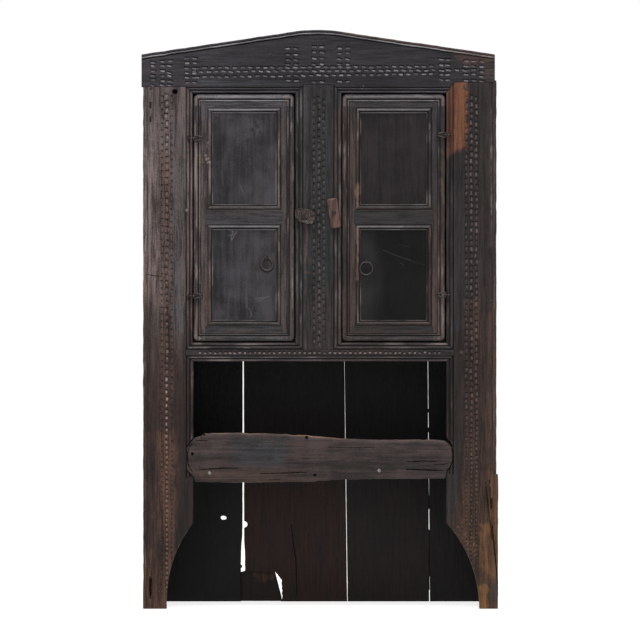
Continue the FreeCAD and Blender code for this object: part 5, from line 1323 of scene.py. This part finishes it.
def make_left_button():
    """A worn block with the rings of its end grain standing out round the nail, lighter on their ridges as
    a painted highlight and darker in their hollows.
    """
    (_, face, _), (_, rear, _) = box_mm("left_turn_button")
    centre = joint_centre("left_button_turn")
    rows = np.array(spread(*LEFT_BLOCK_ENDS, 0.7))
    low = np.interp(rows, *zip(*LEFT_BLOCK_BOTTOM)) + ragged(rows, 71, 0.8, 5)
    high = np.interp(rows, *zip(*LEFT_BLOCK_TOP)) - ragged(rows, 72, 0.8, 5)
    high = np.maximum(high, low + 2)
    across = make_grid(LEFT_BLOCK_EDGE, spread(-24, 14, 0.7), LEFT_BLOCK_EDGE, low, high)
    surface = Surface(across, rows, low, high)
    far = np.hypot(surface.along * 0.8, surface.across * 1.15)
    turns = 2 * math.pi * (far / RING_PITCH + 0.5 * noise(surface.across / 9, surface.along / 9, 73))
    ripple = 0.5 + 0.5 * np.sin(turns)
    surface.depth += RING_DEPTH * ripple
    # Lighter ridges as a painted highlight, and darker hollows.
    surface.lift("wear", 1.2 * smooth_step(1 - ripple, 0.5, 1))
    surface.lift("dirt", ripple)
    surface.weather(74, amount=0.6)
    add_board("worn_left_button", surface, rear - face, lying(centre[0], centre[2], face), "button",
              "left_turn_button", "left_button")


def make_right_button():
    """A bar with its corners cut off and a wide bevel, reddish where the paint has gone."""
    (_, face, _), (_, rear, _) = box_mm("right_turn_button")
    centre = joint_centre("right_button_turn")
    rows = np.array(spread(BAR_FOOT, BAR_HEAD, 0.8))
    cut = BAR_CORNER - np.clip(np.minimum(rows - BAR_FOOT, BAR_HEAD - rows), 0, BAR_CORNER)
    low = cut - BAR_HALF + ragged(rows, 75, 0.5, 7)
    high = BAR_HALF - cut - ragged(rows, 76, 0.5, 7)
    across = make_grid(BAR_EDGE, spread(-13, 13, 1), BAR_EDGE, low, high)
    surface = Surface(across, rows, low, high)
    ends = np.minimum(surface.along - BAR_FOOT, BAR_HEAD - surface.along)
    nearest = np.minimum(np.minimum(surface.from_low, surface.from_high), ends)
    surface.depth += np.clip(BAR_BEVEL - nearest, 0, BAR_BEVEL) * 0.8
    surface.lift("wear", np.clip(1 - np.abs(nearest - BAR_BEVEL) / 1.5, 0, 1) * 0.7)
    surface.weather(77, amount=0.4)
    sine, cosine = math.sin(BUTTON_REST), math.cos(BUTTON_REST)
    place = lambda across, along, depth: (
        centre[0] + across * cosine - along * sine, face + depth,
        centre[2] + along * cosine + across * sine)
    add_board("worn_right_button", surface, rear - face, place, "red_button", "right_turn_button",
              "right_button")


# Materials

# Light that the surface itself throws back, taken off the colours that are seen through it
SHEEN = 0.021


def straight(colour):
    """Linear shares of a colour written as 8-bit sRGB numbers."""
    shares = [value / 255 for value in colour]
    return [s / 12.92 if s <= 0.04045 else ((s + 0.055) / 1.055) ** 2.4 for s in shares]


def linear(colour):
    """A colour as Blender's sockets take it."""
    return straight(colour) + [1]


def under_sheen(colour):
    """Colour of the wood itself, where the colour given is the one seen through its sheen."""
    return [max(value - SHEEN, value * 0.4) for value in straight(colour)] + [1]


def scaled(colour, factor):
    return [min(255, value * factor) for value in colour]


class Nodes:
    """Adds nodes to a new material in few words."""

    def __init__(self, name):
        self.material = bpy.data.materials.new(name)
        self.material.use_nodes = True
        self.tree = self.material.node_tree
        self.tree.nodes.clear()

    def add(self, kind, settings=None, **sockets):
        """Add a node with its settings, and fill the sockets named."""
        node = self.tree.nodes.new(f"ShaderNode{kind}")
        for key, value in (settings or {}).items():
            setattr(node, key, value)
        for key, value in sockets.items():
            self.put(node.inputs[key.replace("_", " ")], value)
        return node

    def put(self, socket, value):
        if isinstance(value, bpy.types.NodeSocket):
            self.tree.links.new(value, socket)
        else:
            socket.default_value = value

    def noise(self, vector, scale, detail=4, roughness=0.55, distortion=0):
        node = self.add("TexNoise", Vector=vector, Scale=scale, Detail=detail, Roughness=roughness,
                        Distortion=distortion)
        return node.outputs["Fac"]

    def math(self, operation, first, second=0.0):
        node = self.add("Math", {"operation": operation})
        self.put(node.inputs[0], first)
        self.put(node.inputs[1], second)
        return node.outputs[0]

    def ramp(self, value, start, end, low=0.0, high=1.0):
        node = self.add("MapRange", {"interpolation_type": "SMOOTHSTEP"}, Value=value)
        for socket, number in zip(node.inputs[1:5], (start, end, low, high)):
            self.put(socket, number)
        return node.outputs[0]

    def mix(self, share, first, second, blend="MIX"):
        node = self.add("Mix", {"data_type": "RGBA", "blend_type": blend})
        for socket, value in zip((node.inputs[0], node.inputs[6], node.inputs[7]), (share, first, second)):
            self.put(socket, value)
        return node.outputs[2]

    def place(self, stretch=(1, 1, 1)):
        coordinates = self.add("TexCoord").outputs["Object"]
        return self.add("Mapping", Vector=coordinates, Scale=stretch).outputs["Vector"]

    def attribute(self, name):
        return self.add("Attribute", {"attribute_name": name}).outputs["Fac"]

    def vector(self, operation, first, second=(0, 0, 0)):
        node = self.add("VectorMath", {"operation": operation})
        self.put(node.inputs[0], first)
        self.put(node.inputs["Scale" if operation == "SCALE" else 1], second)
        return node.outputs["Value" if operation in ("DOT_PRODUCT", "LENGTH", "DISTANCE") else "Vector"]

    def from_line(self, vector, start, end):
        """Distance from a straight line between two places."""
        run = Vector(end) - Vector(start)
        away = self.vector("SUBTRACT", vector, start)
        share = self.math("DIVIDE", self.vector("DOT_PRODUCT", away, run), run.length_squared)
        share = self.math("MINIMUM", self.math("MAXIMUM", share, 0.0), 1.0)
        return self.vector("DISTANCE", away, self.vector("SCALE", run, share))

    def plus(self, value, other, share):
        """A value and a share of another."""
        return self.math("ADD", value, self.math("MULTIPLY", other, share))

    def cover(self, colour, value, start, end, most, over, blend="MIX"):
        """Another colour over this one, from nothing at the start to the most at the end."""
        return self.mix(self.ramp(value, start, end, 0, most), colour, over, blend)

    def finish(self, colour, roughness, bumps, specular):
        """Join the last shader, with bumps given as pairs of height and distance in metres."""
        normal = None
        for height, distance in bumps:
            bump = self.add("Bump", Height=height, Distance=distance, Strength=1.0)
            if normal is not None:
                self.put(bump.inputs["Normal"], normal)
            normal = bump.outputs["Normal"]
        shader = self.add("BsdfPrincipled", Base_Color=colour, Roughness=roughness, Normal=normal)
        shader.inputs["Specular IOR Level"].default_value = specular
        self.add("OutputMaterial", Surface=shader.outputs[0])
        return self.material


# How the grain stretches the noise of a wood
STRETCHES = {"up": (1, 1, 0.06), "across": (0.06, 1, 1), "deep": (1, 0.06, 1)}
# Noises of a wood: whether stretched with its grain, scale, detail, roughness and distortion
NOISES = {
    "cloud": (False, 9, 5, 0.6, 0.3), "stain": (True, 45, 8, 0.68, 0.6), "cast": (True, 75, 5, 0.6, 0.5),
    "speckle": (False, 240, 6, 0.75), "streak": (True, 190, 6, 0.65, 0.4), "fine": (True, 700, 4, 0.6),
    "blots": (False, 38, 7, 0.7, 0.8),
}
# Bare wood of the faces behind, and how far back it begins, in metres
REAR_WOOD = (84, 69, 60)
REAR_FADE = 0.003
PANEL_BARE_BEHIND = 4
PANEL_FACE = box_mm("left_door_upper_panel")[0][1]
FRONT_REAR = (FRONT + BOARD_THICKNESS) * MM
DOOR_REAR = box_mm("left_door_hinge_stile")[1][1] * MM
PANEL_REAR = (PANEL_FACE + PANEL_BARE_BEHIND) * MM
BACK_REAR = (BACK_FRONT + BACK_THICKNESS) * MM
PATCH_REAR = box_mm("back_patch_board")[1][1] * MM
NOWHERE = 1.0
WARM_TINT = (1.0, 0.86, 0.78, 1)
COOL_TINT = (0.86, 0.93, 0.97, 1)


class OldWood(Nodes):
    """Old painted pine: stained and streaked, grimy and painted with shade in its hollows, and rubbed and
    painted with highlights on its edges.
    """

    def __init__(self, name, grain, contrast, streaky, grime, worn):
        super().__init__(name)
        self.plain = self.place()
        fibres = self.place(STRETCHES[grain])
        for part, (stretched, *numbers) in NOISES.items():
            setattr(self, part, self.noise(fibres if stretched else self.plain, *numbers))
        mixture = self.math("MULTIPLY", self.ramp(self.streak, 0.3, 0.7), streaky)
        for part, share in ((self.stain, 0.25), (self.speckle, 0.22), (self.cloud, 0.53 - streaky)):
            mixture = self.plus(mixture, self.ramp(part, 0.3, 0.7), share)
        self.tone = self.ramp(mixture, 0.22, 0.78)
        self.contrast = contrast
        self.grime, self.worn = grime, worn

    def two_tone(self, colour, darker, lighter):
        """A colour that varies between a darker and a lighter one."""
        ends = under_sheen(scaled(colour, 1 - darker)), under_sheen(scaled(colour, 1 + lighter))
        return self.mix(self.tone, *ends)

    def paint(self, colour):
        return self.two_tone(colour, self.contrast, self.contrast)

    def painted(self, base, foot, foot_span, tints, zones):
        """The paint, with another colour at the foot and tints and zones where they lie."""
        colour = self.paint(base)
        if foot:
            height = self.add("SeparateXYZ", Vector=self.plain).outputs["Z"]
            lower = self.ramp(self.plus(height, self.stain, 0.25), foot_span[1], foot_span[0])
            colour = self.mix(lower, colour, self.paint(foot))
        for channel, tint in tints.items():
            patchy = self.ramp(self.stain, 0.25, 0.6, 0.35, 1)
            share = self.math("MULTIPLY", self.attribute(channel), patchy)
            colour = self.mix(share, colour, self.paint(tint))
        colour = self.vector("SCALE", colour, self.math("ADD", self.attribute("tone"), 1.0))
        for centre, reach, amount in zones:
            share = self.vector("DIVIDE", self.vector("SUBTRACT", self.plain, centre), reach)
            far = self.plus(self.vector("LENGTH", share), self.cloud, 0.5)
            colour = self.vector("SCALE", colour, self.ramp(far, 1.45, 0.75, 1, 1 + amount))
        return colour

    def stained(self, colour):
        """Warm and cool casts, grime and rubbed specks all over."""
        grime = linear(self.grime)
        colour = self.cover(colour, self.cast, 0.52, 0.66, 0.5, WARM_TINT, "MULTIPLY")
        colour = self.cover(colour, self.cast, 0.46, 0.34, 0.5, COOL_TINT, "MULTIPLY")
        colour = self.cover(colour, self.streak, 0.56, 0.74, 0.45, grime)
        colour = self.cover(colour, self.blots, 0.6, 0.72, 0.4, grime)
        colour = self.cover(colour, self.fine, 0.4, 0.25, 0.4, grime)
        return self.cover(colour, self.speckle, 0.66, 0.8, 0.5, linear(self.worn))

    def marked(self, colour, spots, rings, scratches):
        """Single dark spots, dark rings where a pull rubs that also stand for its painted shadow, with
        painted shadow darkening the panel inside them, and scratches.
        """
        grime, worn = linear(self.grime), linear(self.worn)
        for centre, radius, amount in spots:
            far = self.plus(self.vector("DISTANCE", self.plain, centre), self.speckle, 0.012)
            colour = self.cover(colour, far, radius + 0.010, radius + 0.002, amount, grime)
        # A dark band round each pull's ring, partly rubbed by it and partly painted shadow, and painted
        # shadow on the panel inside it.
        for centre, radius, amount in rings:
            far = self.vector("DISTANCE", self.plain, centre)
            off = self.math("ABSOLUTE", self.math("SUBTRACT", far, radius))
            off = self.plus(off, self.speckle, 0.002)
            colour = self.cover(colour, off, 0.0062, 0.0028, amount, grime)
            colour = self.cover(colour, far, radius, radius * 0.5, 0.3, grime)
        for start, end, width, amount in scratches:
            far = self.plus(self.from_line(self.plain, start, end), self.speckle, 0.002)
            colour = self.cover(colour, far, width + 0.0024, width + 0.0006, amount, worn)
        return colour

    def rubbed(self, colour, grimy_and_shaded, tan, bare):
        """Worn edges and painted highlights, grimy hollows and painted shade, chips, and tan and unpainted
        wood, as the channels of a board say.
        """
        wear = self.plus(self.plus(self.attribute("wear"), self.speckle, 0.5), self.streak, 0.4)
        colour = self.cover(colour, wear, 0.75, 1.5, 1, linear(self.worn))
        # Grime, and painted shade where the channels carry it.
        colour = self.mix(grimy_and_shaded, colour, linear(scaled(self.grime, 0.6)))
        chip = self.plus(self.attribute("chip"), self.speckle, 0.3)
        colour = self.cover(colour, chip, 0.3, 1.15, 1, linear(scaled(self.worn, 1.05)))
        for channel, wood in (("tan", (tan, 0.2, 0.2)), ("bare", (bare, 0.12, 0.14))):
            share = self.plus(self.attribute(channel), self.speckle, 0.25)
            colour = self.cover(colour, share, 0.25, 1.1, 0.95, self.two_tone(*wood))
        return colour

    def with_rear(self, colour, rear_from):
        """Bare, grimy wood on the faces behind."""
        grime = linear(self.grime)
        rear = self.cover(self.paint(REAR_WOOD), self.blots, 0.56, 0.7, 0.45, grime)
        rear = self.cover(rear, self.streak, 0.54, 0.74, 0.5, grime)
        depth = self.add("SeparateXYZ", Vector=self.plain).outputs["Y"]
        return self.cover(colour, depth, rear_from - REAR_FADE, rear_from, 1, rear)


def old_wood(name, base, worn, grain="up", bare=(104, 72, 56), grime=(22, 18, 17), foot=None,
             warm=(98, 74, 58), cool=(58, 60, 63), tan=(112, 84, 62), contrast=0.3, streaky=0.4,
             foot_span=(0.3, 0.8), rear_from=FRONT_REAR, specular=0.2, zones=(), spots=(),
             scratches=(), rings=()):
    """Material of old painted pine. Colours are 8-bit sRGB numbers, and places are in metres."""
    wood = OldWood(name, grain, contrast, streaky, grime, worn)
    colour = wood.painted(base, foot, foot_span, {"warm": warm, "cool": cool}, zones)
    colour = wood.marked(wood.stained(colour), spots, rings, scratches)
    # Share of grime and of painted shade, from the board's channels.
    grimy_and_shaded = wood.ramp(wood.plus(wood.attribute("dirt"), wood.speckle, 0.3), 0.35, 1.0)
    colour = wood.with_rear(wood.rubbed(colour, grimy_and_shaded, tan, bare), rear_from)
    roughness = wood.ramp(wood.plus(wood.speckle, grimy_and_shaded, 0.3), 0.2, 0.9, 0.36, 0.75)
    bumps = [(wood.streak, 0.0009), (wood.fine, 0.0004), (wood.speckle, 0.0004), (wood.blots, 0.0008)]
    return wood.finish(colour, roughness, bumps, specular)


def old_iron(name, base=(22, 19, 18), rust=(40, 30, 26), specular=0.45):
    """Forged iron, dark and pitted, with rust in patches."""
    nodes = Nodes(name)
    plain = nodes.place()
    patch = nodes.noise(plain, 90, 6, 0.65)
    pits = nodes.noise(plain, 900, 5, 0.7)
    colour = nodes.mix(nodes.ramp(patch, 0.42, 0.62), linear(base), linear(rust))
    colour = nodes.cover(colour, pits, 0.55, 0.8, 0.6, linear(scaled(base, 0.5)))
    roughness = nodes.ramp(pits, 0.2, 0.8, 0.25, 0.6)
    return nodes.finish(colour, roughness, [(pits, 0.0003), (patch, 0.001)], specular)


def on_panel(x, y):
    """Place on a panel's face, in metres, of a point of the photograph."""
    return (across_at(x) * MM, PANEL_FACE * MM, height_at(y) * MM)


# Worn paint, also the colour of painted highlights; on the rails lighter and bluer for a painted
# reflection.
PAINT_WORN_AND_HIGHLIGHT = (128, 118, 114)
RAIL_WORN_AND_REFLECTION = (142, 138, 141)
LEFT_PANEL_SPOTS = [
    (on_panel(x, y), radius, amount) for x, y, radius, amount in (
        (216, 118, 0.006, 0.6), (255, 122, 0.004, 0.7), (258, 117, 0.004, 0.7), (252, 130, 0.006, 0.7),
        (260, 132, 0.004, 0.7), (248, 140, 0.005, 0.5), (238, 153, 0.004, 0.5), (219, 140, 0.02, 0.4),
        (219, 156, 0.014, 0.4), (215, 128, 0.012, 0.4), (257, 126, 0.006, 0.6), (262, 119, 0.003, 0.8),
        (250, 117, 0.003, 0.7), (254, 134, 0.003, 0.8), (232, 120, 0.004, 0.4), (228, 190, 0.01, 0.25),
        (262, 160, 0.006, 0.35), (245, 320, 0.012, 0.3), (220, 300, 0.014, 0.3), (258, 268, 0.01, 0.3),
    )
]
# Dark rings round the pulls, partly rubbed by them and partly painted shadow of the rings.
LEFT_RING_RUB_AND_SHADOW = [(on_panel(266.8, 265.8), 0.0175, 0.95)]
RIGHT_RING_RUB_AND_SHADOW = [(on_panel(366.3, 269.3), 0.0185, 0.65)]
LEFT_PANEL_SCRATCHES = [
    (on_panel(*start), on_panel(*end), width, amount) for start, end, width, amount in (
        ((228, 229), (234, 232), 0.0012, 0.6), ((233, 230), (231, 240), 0.0008, 0.7),
        ((237, 230), (232, 240), 0.0009, 0.6), ((229, 236), (237, 233), 0.0007, 0.5),
        ((256, 299), (262, 297.5), 0.0009, 0.4), ((261, 298.5), (269, 296.5), 0.0007, 0.4),
        ((258, 301), (264, 299), 0.0006, 0.3), ((246, 297), (246.5, 308), 0.0016, 0.2),
        ((249, 308), (252, 316), 0.0014, 0.25), ((253, 306), (250, 318), 0.0009, 0.2),
        ((240, 185), (243, 192), 0.0008, 0.3), ((222, 170), (223, 185), 0.0014, 0.16),
    )
]
RIGHT_PANEL_SCRATCHES = [
    (on_panel(*start), on_panel(*end), width, amount) for start, end, width, amount in (
        ((383, 250), (400, 257), 0.0003, 0.3), ((400, 257), (414, 262), 0.0002, 0.25),
        ((414, 262), (425, 265), 0.0001, 0.2), ((400, 263), (404, 265), 0.0003, 0.2),
        ((405, 258), (411, 260), 0.0003, 0.2), ((398, 244), (410, 247), 0.0002, 0.15),
    )
]
# Woods by how far back their bare rear begins. Every row: base, worn paint that also colours the
# painted highlights, and what differs from the usual.
WOOD_GROUPS = (
    (FRONT_REAR, {
        "left_stile": ((84, 76, 75), (146, 134, 130), dict(
            foot=(54, 45, 43), warm=(84, 65, 56), cool=(74, 71, 72), foot_span=(0.72, 1.15))),
        "right_stile": ((49, 44, 44), (108, 98, 94), dict(
            foot=(62, 51, 46), bare=(108, 75, 60), warm=(80, 61, 51), cool=(52, 52, 54))),
        "muntin": ((50, 49, 50), (108, 102, 101), dict(warm=(62, 54, 51))),
        "pediment": ((51, 49, 52), (136, 132, 134), dict(
            grain="across", warm=(72, 62, 58), bare=(112, 84, 74), contrast=0.24)),
        "rail": ((56, 51, 52), PAINT_WORN_AND_HIGHLIGHT, dict(grain="across", warm=(64, 55, 50))),
        "slat": ((66, 58, 57), (118, 106, 100), dict(
            grain="across", bare=(128, 98, 80), warm=(74, 61, 55), cool=(60, 60, 62), contrast=0.24,
            streaky=0.25)),
    }),
    (DOOR_REAR, {
        "left_door": ((64, 61, 63), PAINT_WORN_AND_HIGHLIGHT, dict(warm=(76, 66, 62), bare=(120, 92, 76))),
        "right_door": ((50, 47, 48), (116, 107, 103), dict(bare=(132, 108, 90), warm=(64, 54, 50))),
        "left_door_rail": ((62, 60, 62), RAIL_WORN_AND_REFLECTION, dict(grain="across", warm=(66, 60, 58))),
        "right_door_rail": ((51, 49, 50), (126, 121, 122), dict(grain="across", warm=(62, 53, 50))),
    }),
    (PANEL_REAR, {
        "left_panel": ((63, 61, 64), (104, 100, 101), dict(
            contrast=0.24, zones=[(on_panel(218, 140), (0.03, 1, 0.07), -0.4)], streaky=0.14,
            spots=LEFT_PANEL_SPOTS, scratches=LEFT_PANEL_SCRATCHES, rings=LEFT_RING_RUB_AND_SHADOW)),
        "right_panel": ((46, 43, 44), (84, 80, 80), dict(
            contrast=0.28, zones=[(on_panel(395, 112), (0.12, 1, 0.04), 0.5)], specular=0.15,
            streaky=0.2)),
        "dark_panel": ((31, 30, 31), (96, 90, 90), dict(
            contrast=0.22, zones=[(on_panel(364, 280), (0.055, 1, 0.16), 2.2)], specular=0.1,
            streaky=0.15, scratches=RIGHT_PANEL_SCRATCHES, rings=RIGHT_RING_RUB_AND_SHADOW)),
    }),
    # The back is dark partly as painted shade inside the case, the left plank darkest as painted shadow of
    # the left side, and the feet lighter partly as painted light.
    (PATCH_REAR, {"back": ((30, 27, 26), (54, 46, 42), dict(grime=(13, 11, 11), foot=(44, 34, 30)))}),
    (BACK_REAR, {
        "back_left": ((24, 22, 22), (46, 42, 40), dict(grime=(13, 11, 11))),
        "back_centre_left": ((28, 26, 26), (54, 46, 42), dict(grime=(14, 12, 11), foot=(55, 42, 35))),
        "back_centre_right": ((27, 25, 25), (54, 46, 42), dict(grime=(13, 11, 11), foot=(43, 35, 31))),
        "back_right": ((27, 25, 25), (54, 46, 42), dict(grime=(13, 11, 11), foot=(36, 31, 29))),
    }),
    (NOWHERE, {
        "inner_board": ((36, 30, 28), (66, 56, 50), dict(grain="across")),
        "side": ((66, 56, 52), (120, 104, 94), {}),
        "top": ((70, 60, 55), (118, 104, 94), dict(grain="across")),
        "cleat": ((52, 42, 38), (98, 82, 72), dict(grain="deep")),
        "peg": ((74, 62, 57), (110, 98, 92), dict(grain="deep")),
        "button": ((94, 84, 82), (170, 158, 152), dict(grain="across")),
        "red_button": ((86, 68, 62), (140, 124, 118), {}),
    }),
)
WOODS = {
    name: old_wood(f"{name}_wood", base, worn, rear_from=rear, **others)
    for rear, group in WOOD_GROUPS for name, (base, worn, others) in group.items()
}
WOODS.update({
    "iron": old_iron("old_iron"),
    "hinge_iron": old_iron("hinge_iron", (26, 22, 20), (50, 39, 34), 0.4),
    "left_pull_iron": old_iron("left_pull_iron", (56, 49, 46), (52, 42, 37), 0.4),
    "right_pull_iron": old_iron("right_pull_iron", (50, 45, 44), (46, 38, 34), 0.4),
    "pale_iron": old_iron("pale_iron", (150, 146, 142), (74, 66, 62)),
})
NODE_WOODS = {
    "inner_board": ["cupboard_floor", "cupboard_shelf", "lower_shelf"],
    "cleat": [f"{shelf}_{side}_cleat" for shelf in ("cupboard_floor", "cupboard_shelf", "lower_shelf")
              for side in ("left", "right")],
    "peg": ["frame_pegs", "left_door_pegs", "right_door_pegs"],
    "left_panel": ["left_door_upper_panel", "left_door_lower_panel"],
    "right_panel": ["right_door_upper_panel"],
    "dark_panel": ["right_door_lower_panel"],
    "pale_iron": ["slat_nails"],
    "iron": ["back_nails", "top_nails", "button_nails"],
    "hinge_iron": ["left_door_hinge_eyes", "right_door_hinge_eyes", "left_stile_hinge_eyes",
                   "right_stile_hinge_eyes"],
    "left_pull_iron": ["left_pull_eye", "left_ring_pull"],
    "right_pull_iron": ["right_pull_eye", "right_ring_pull"],
}


def dress_nodes():
    """Give the solids that stay their own finish."""
    for wood, names in NODE_WOODS.items():
        for name in names:
            for slot in frame["nodes"][name].material_slots:
                slot.material = WOODS[wood]


# Light, floor and camera

CAMERA_DISTANCE = 15
CAMERA_ACROSS = 0.0007
CAMERA_HEIGHT = 0.838
SENSOR = 36
FRAME_WIDTH = 1.856
# Paleness of the floor, how bright the camera sees it, and its reach
FLOOR_GREY, FLOOR_GLOW = 0.8, 0.8
FLOOR_REACH = 30
WORLD_LIGHT = 0.28
# Lamps: place, aim, size and power
LAMPS = {
    "ceiling": ((0, -1.5, 4.4), (0, -0.4, 0.9), (3.4, 2.0), 190),
    "fill": ((-0.8, -6.5, 2.4), (0, 0, 0.8), (4, 3), 60),
}


def add_camera():
    """Long lens, square to the front."""
    data = bpy.data.cameras.new("camera")
    data.sensor_width = SENSOR
    data.lens = SENSOR * CAMERA_DISTANCE / FRAME_WIDTH
    camera = bpy.data.objects.new("camera", data)
    camera.location = (CAMERA_ACROSS, FRONT * MM - CAMERA_DISTANCE, CAMERA_HEIGHT)
    camera.rotation_euler = (math.pi / 2, 0, 0)
    bpy.context.scene.collection.objects.link(camera)
    bpy.context.scene.camera = camera


def add_lamp(name, place, aim, size, power):
    """A large soft lamp that faces its aim."""
    data = bpy.data.lights.new(name, "AREA")
    data.shape = "RECTANGLE"
    data.size, data.size_y = size
    data.energy = power
    lamp = bpy.data.objects.new(name, data)
    lamp.location = place
    direction = [a - b for a, b in zip(aim, place)]
    lamp.rotation_euler = Vector(direction).to_track_quat("-Z", "Y").to_euler()
    bpy.context.scene.collection.objects.link(lamp)


def backdrop_material(plain, glow):
    """Pale surface that the camera sees brighter than it lights the object."""
    nodes = Nodes("backdrop")
    path = nodes.add("LightPath").outputs
    seen = nodes.math("MAXIMUM", path["Is Camera Ray"], path["Is Glossy Ray"])
    seen = nodes.math("MAXIMUM", seen, path["Is Transmission Ray"])
    shader = nodes.add("BsdfPrincipled", Base_Color=(plain, plain, plain, 1), Roughness=0.9)
    shader.inputs["Specular IOR Level"].default_value = 0
    shader.inputs["Emission Color"].default_value = (1, 1, 1, 1)
    nodes.put(shader.inputs["Emission Strength"], nodes.math("MULTIPLY", seen, glow))
    nodes.add("OutputMaterial", Surface=shader.outputs[0])
    return nodes.material


def add_floor():
    """A plain, pale floor that reaches far past the picture."""
    mesh = bpy.data.meshes.new("floor")
    corners = [(x * FLOOR_REACH, y * FLOOR_REACH, 0) for x, y in ((-1, -1), (1, -1), (1, 1), (-1, 1))]
    mesh.from_pydata(corners, [], [(0, 1, 2, 3)])
    floor = bpy.data.objects.new("floor", mesh)
    mesh.materials.append(backdrop_material(FLOOR_GREY, FLOOR_GLOW))
    bpy.context.scene.collection.objects.link(floor)


def add_world():
    """Even light all round, seen as white by the camera."""
    world = bpy.data.worlds.new("studio")
    world.use_nodes = True
    tree = world.node_tree
    background = tree.nodes["Background"]
    background.inputs["Color"].default_value = (1, 1, 1, 1)
    path = tree.nodes.new("ShaderNodeLightPath")
    seen = tree.nodes.new("ShaderNodeMath")
    seen.operation = "MAXIMUM"
    tree.links.new(path.outputs["Is Camera Ray"], seen.inputs[0])
    tree.links.new(path.outputs["Is Transmission Ray"], seen.inputs[1])
    strength = tree.nodes.new("ShaderNodeMapRange")
    strength.inputs["To Min"].default_value = WORLD_LIGHT
    strength.inputs["To Max"].default_value = 1
    tree.links.new(seen.outputs[0], strength.inputs["Value"])
    tree.links.new(strength.outputs[0], background.inputs["Strength"])
    bpy.context.scene.world = world


make_pediment()
for name, settings in STILES.items():
    make_stile(name, *settings)
make_muntin()
make_rail()
make_slat()
for index, name in enumerate(("left", "right")):
    for number, part in enumerate(("hinge_stile", "lock_stile")):
        make_door_stile(name, part, 80 + 10 * index + number, 0.5 + 0.5 * index)
    for number, part in enumerate(("bottom_rail", "lock_rail", "top_rail")):
        make_door_rail(name, part, 85 + 10 * index + number)
planks = {name: make_back_plank(name, 101 + 10 * index) for index, name in enumerate(PLANKS)}
bore(planks["left"], KNOT, KNOT_REACH,
     (BACK_FRONT - CUTTER_MARGIN, BACK_FRONT + BACK_THICKNESS + CUTTER_MARGIN), 7)
make_patch_board()
for index, name in enumerate(CASE_CRACKS):
    make_case_board(name, 151 + 10 * index)
make_left_button()
make_right_button()
dress_nodes()
add_camera()
add_floor()
add_world()
for name, settings in LAMPS.items():
    add_lamp(name, *settings)
bpy.context.scene.view_settings.view_transform = "Standard"
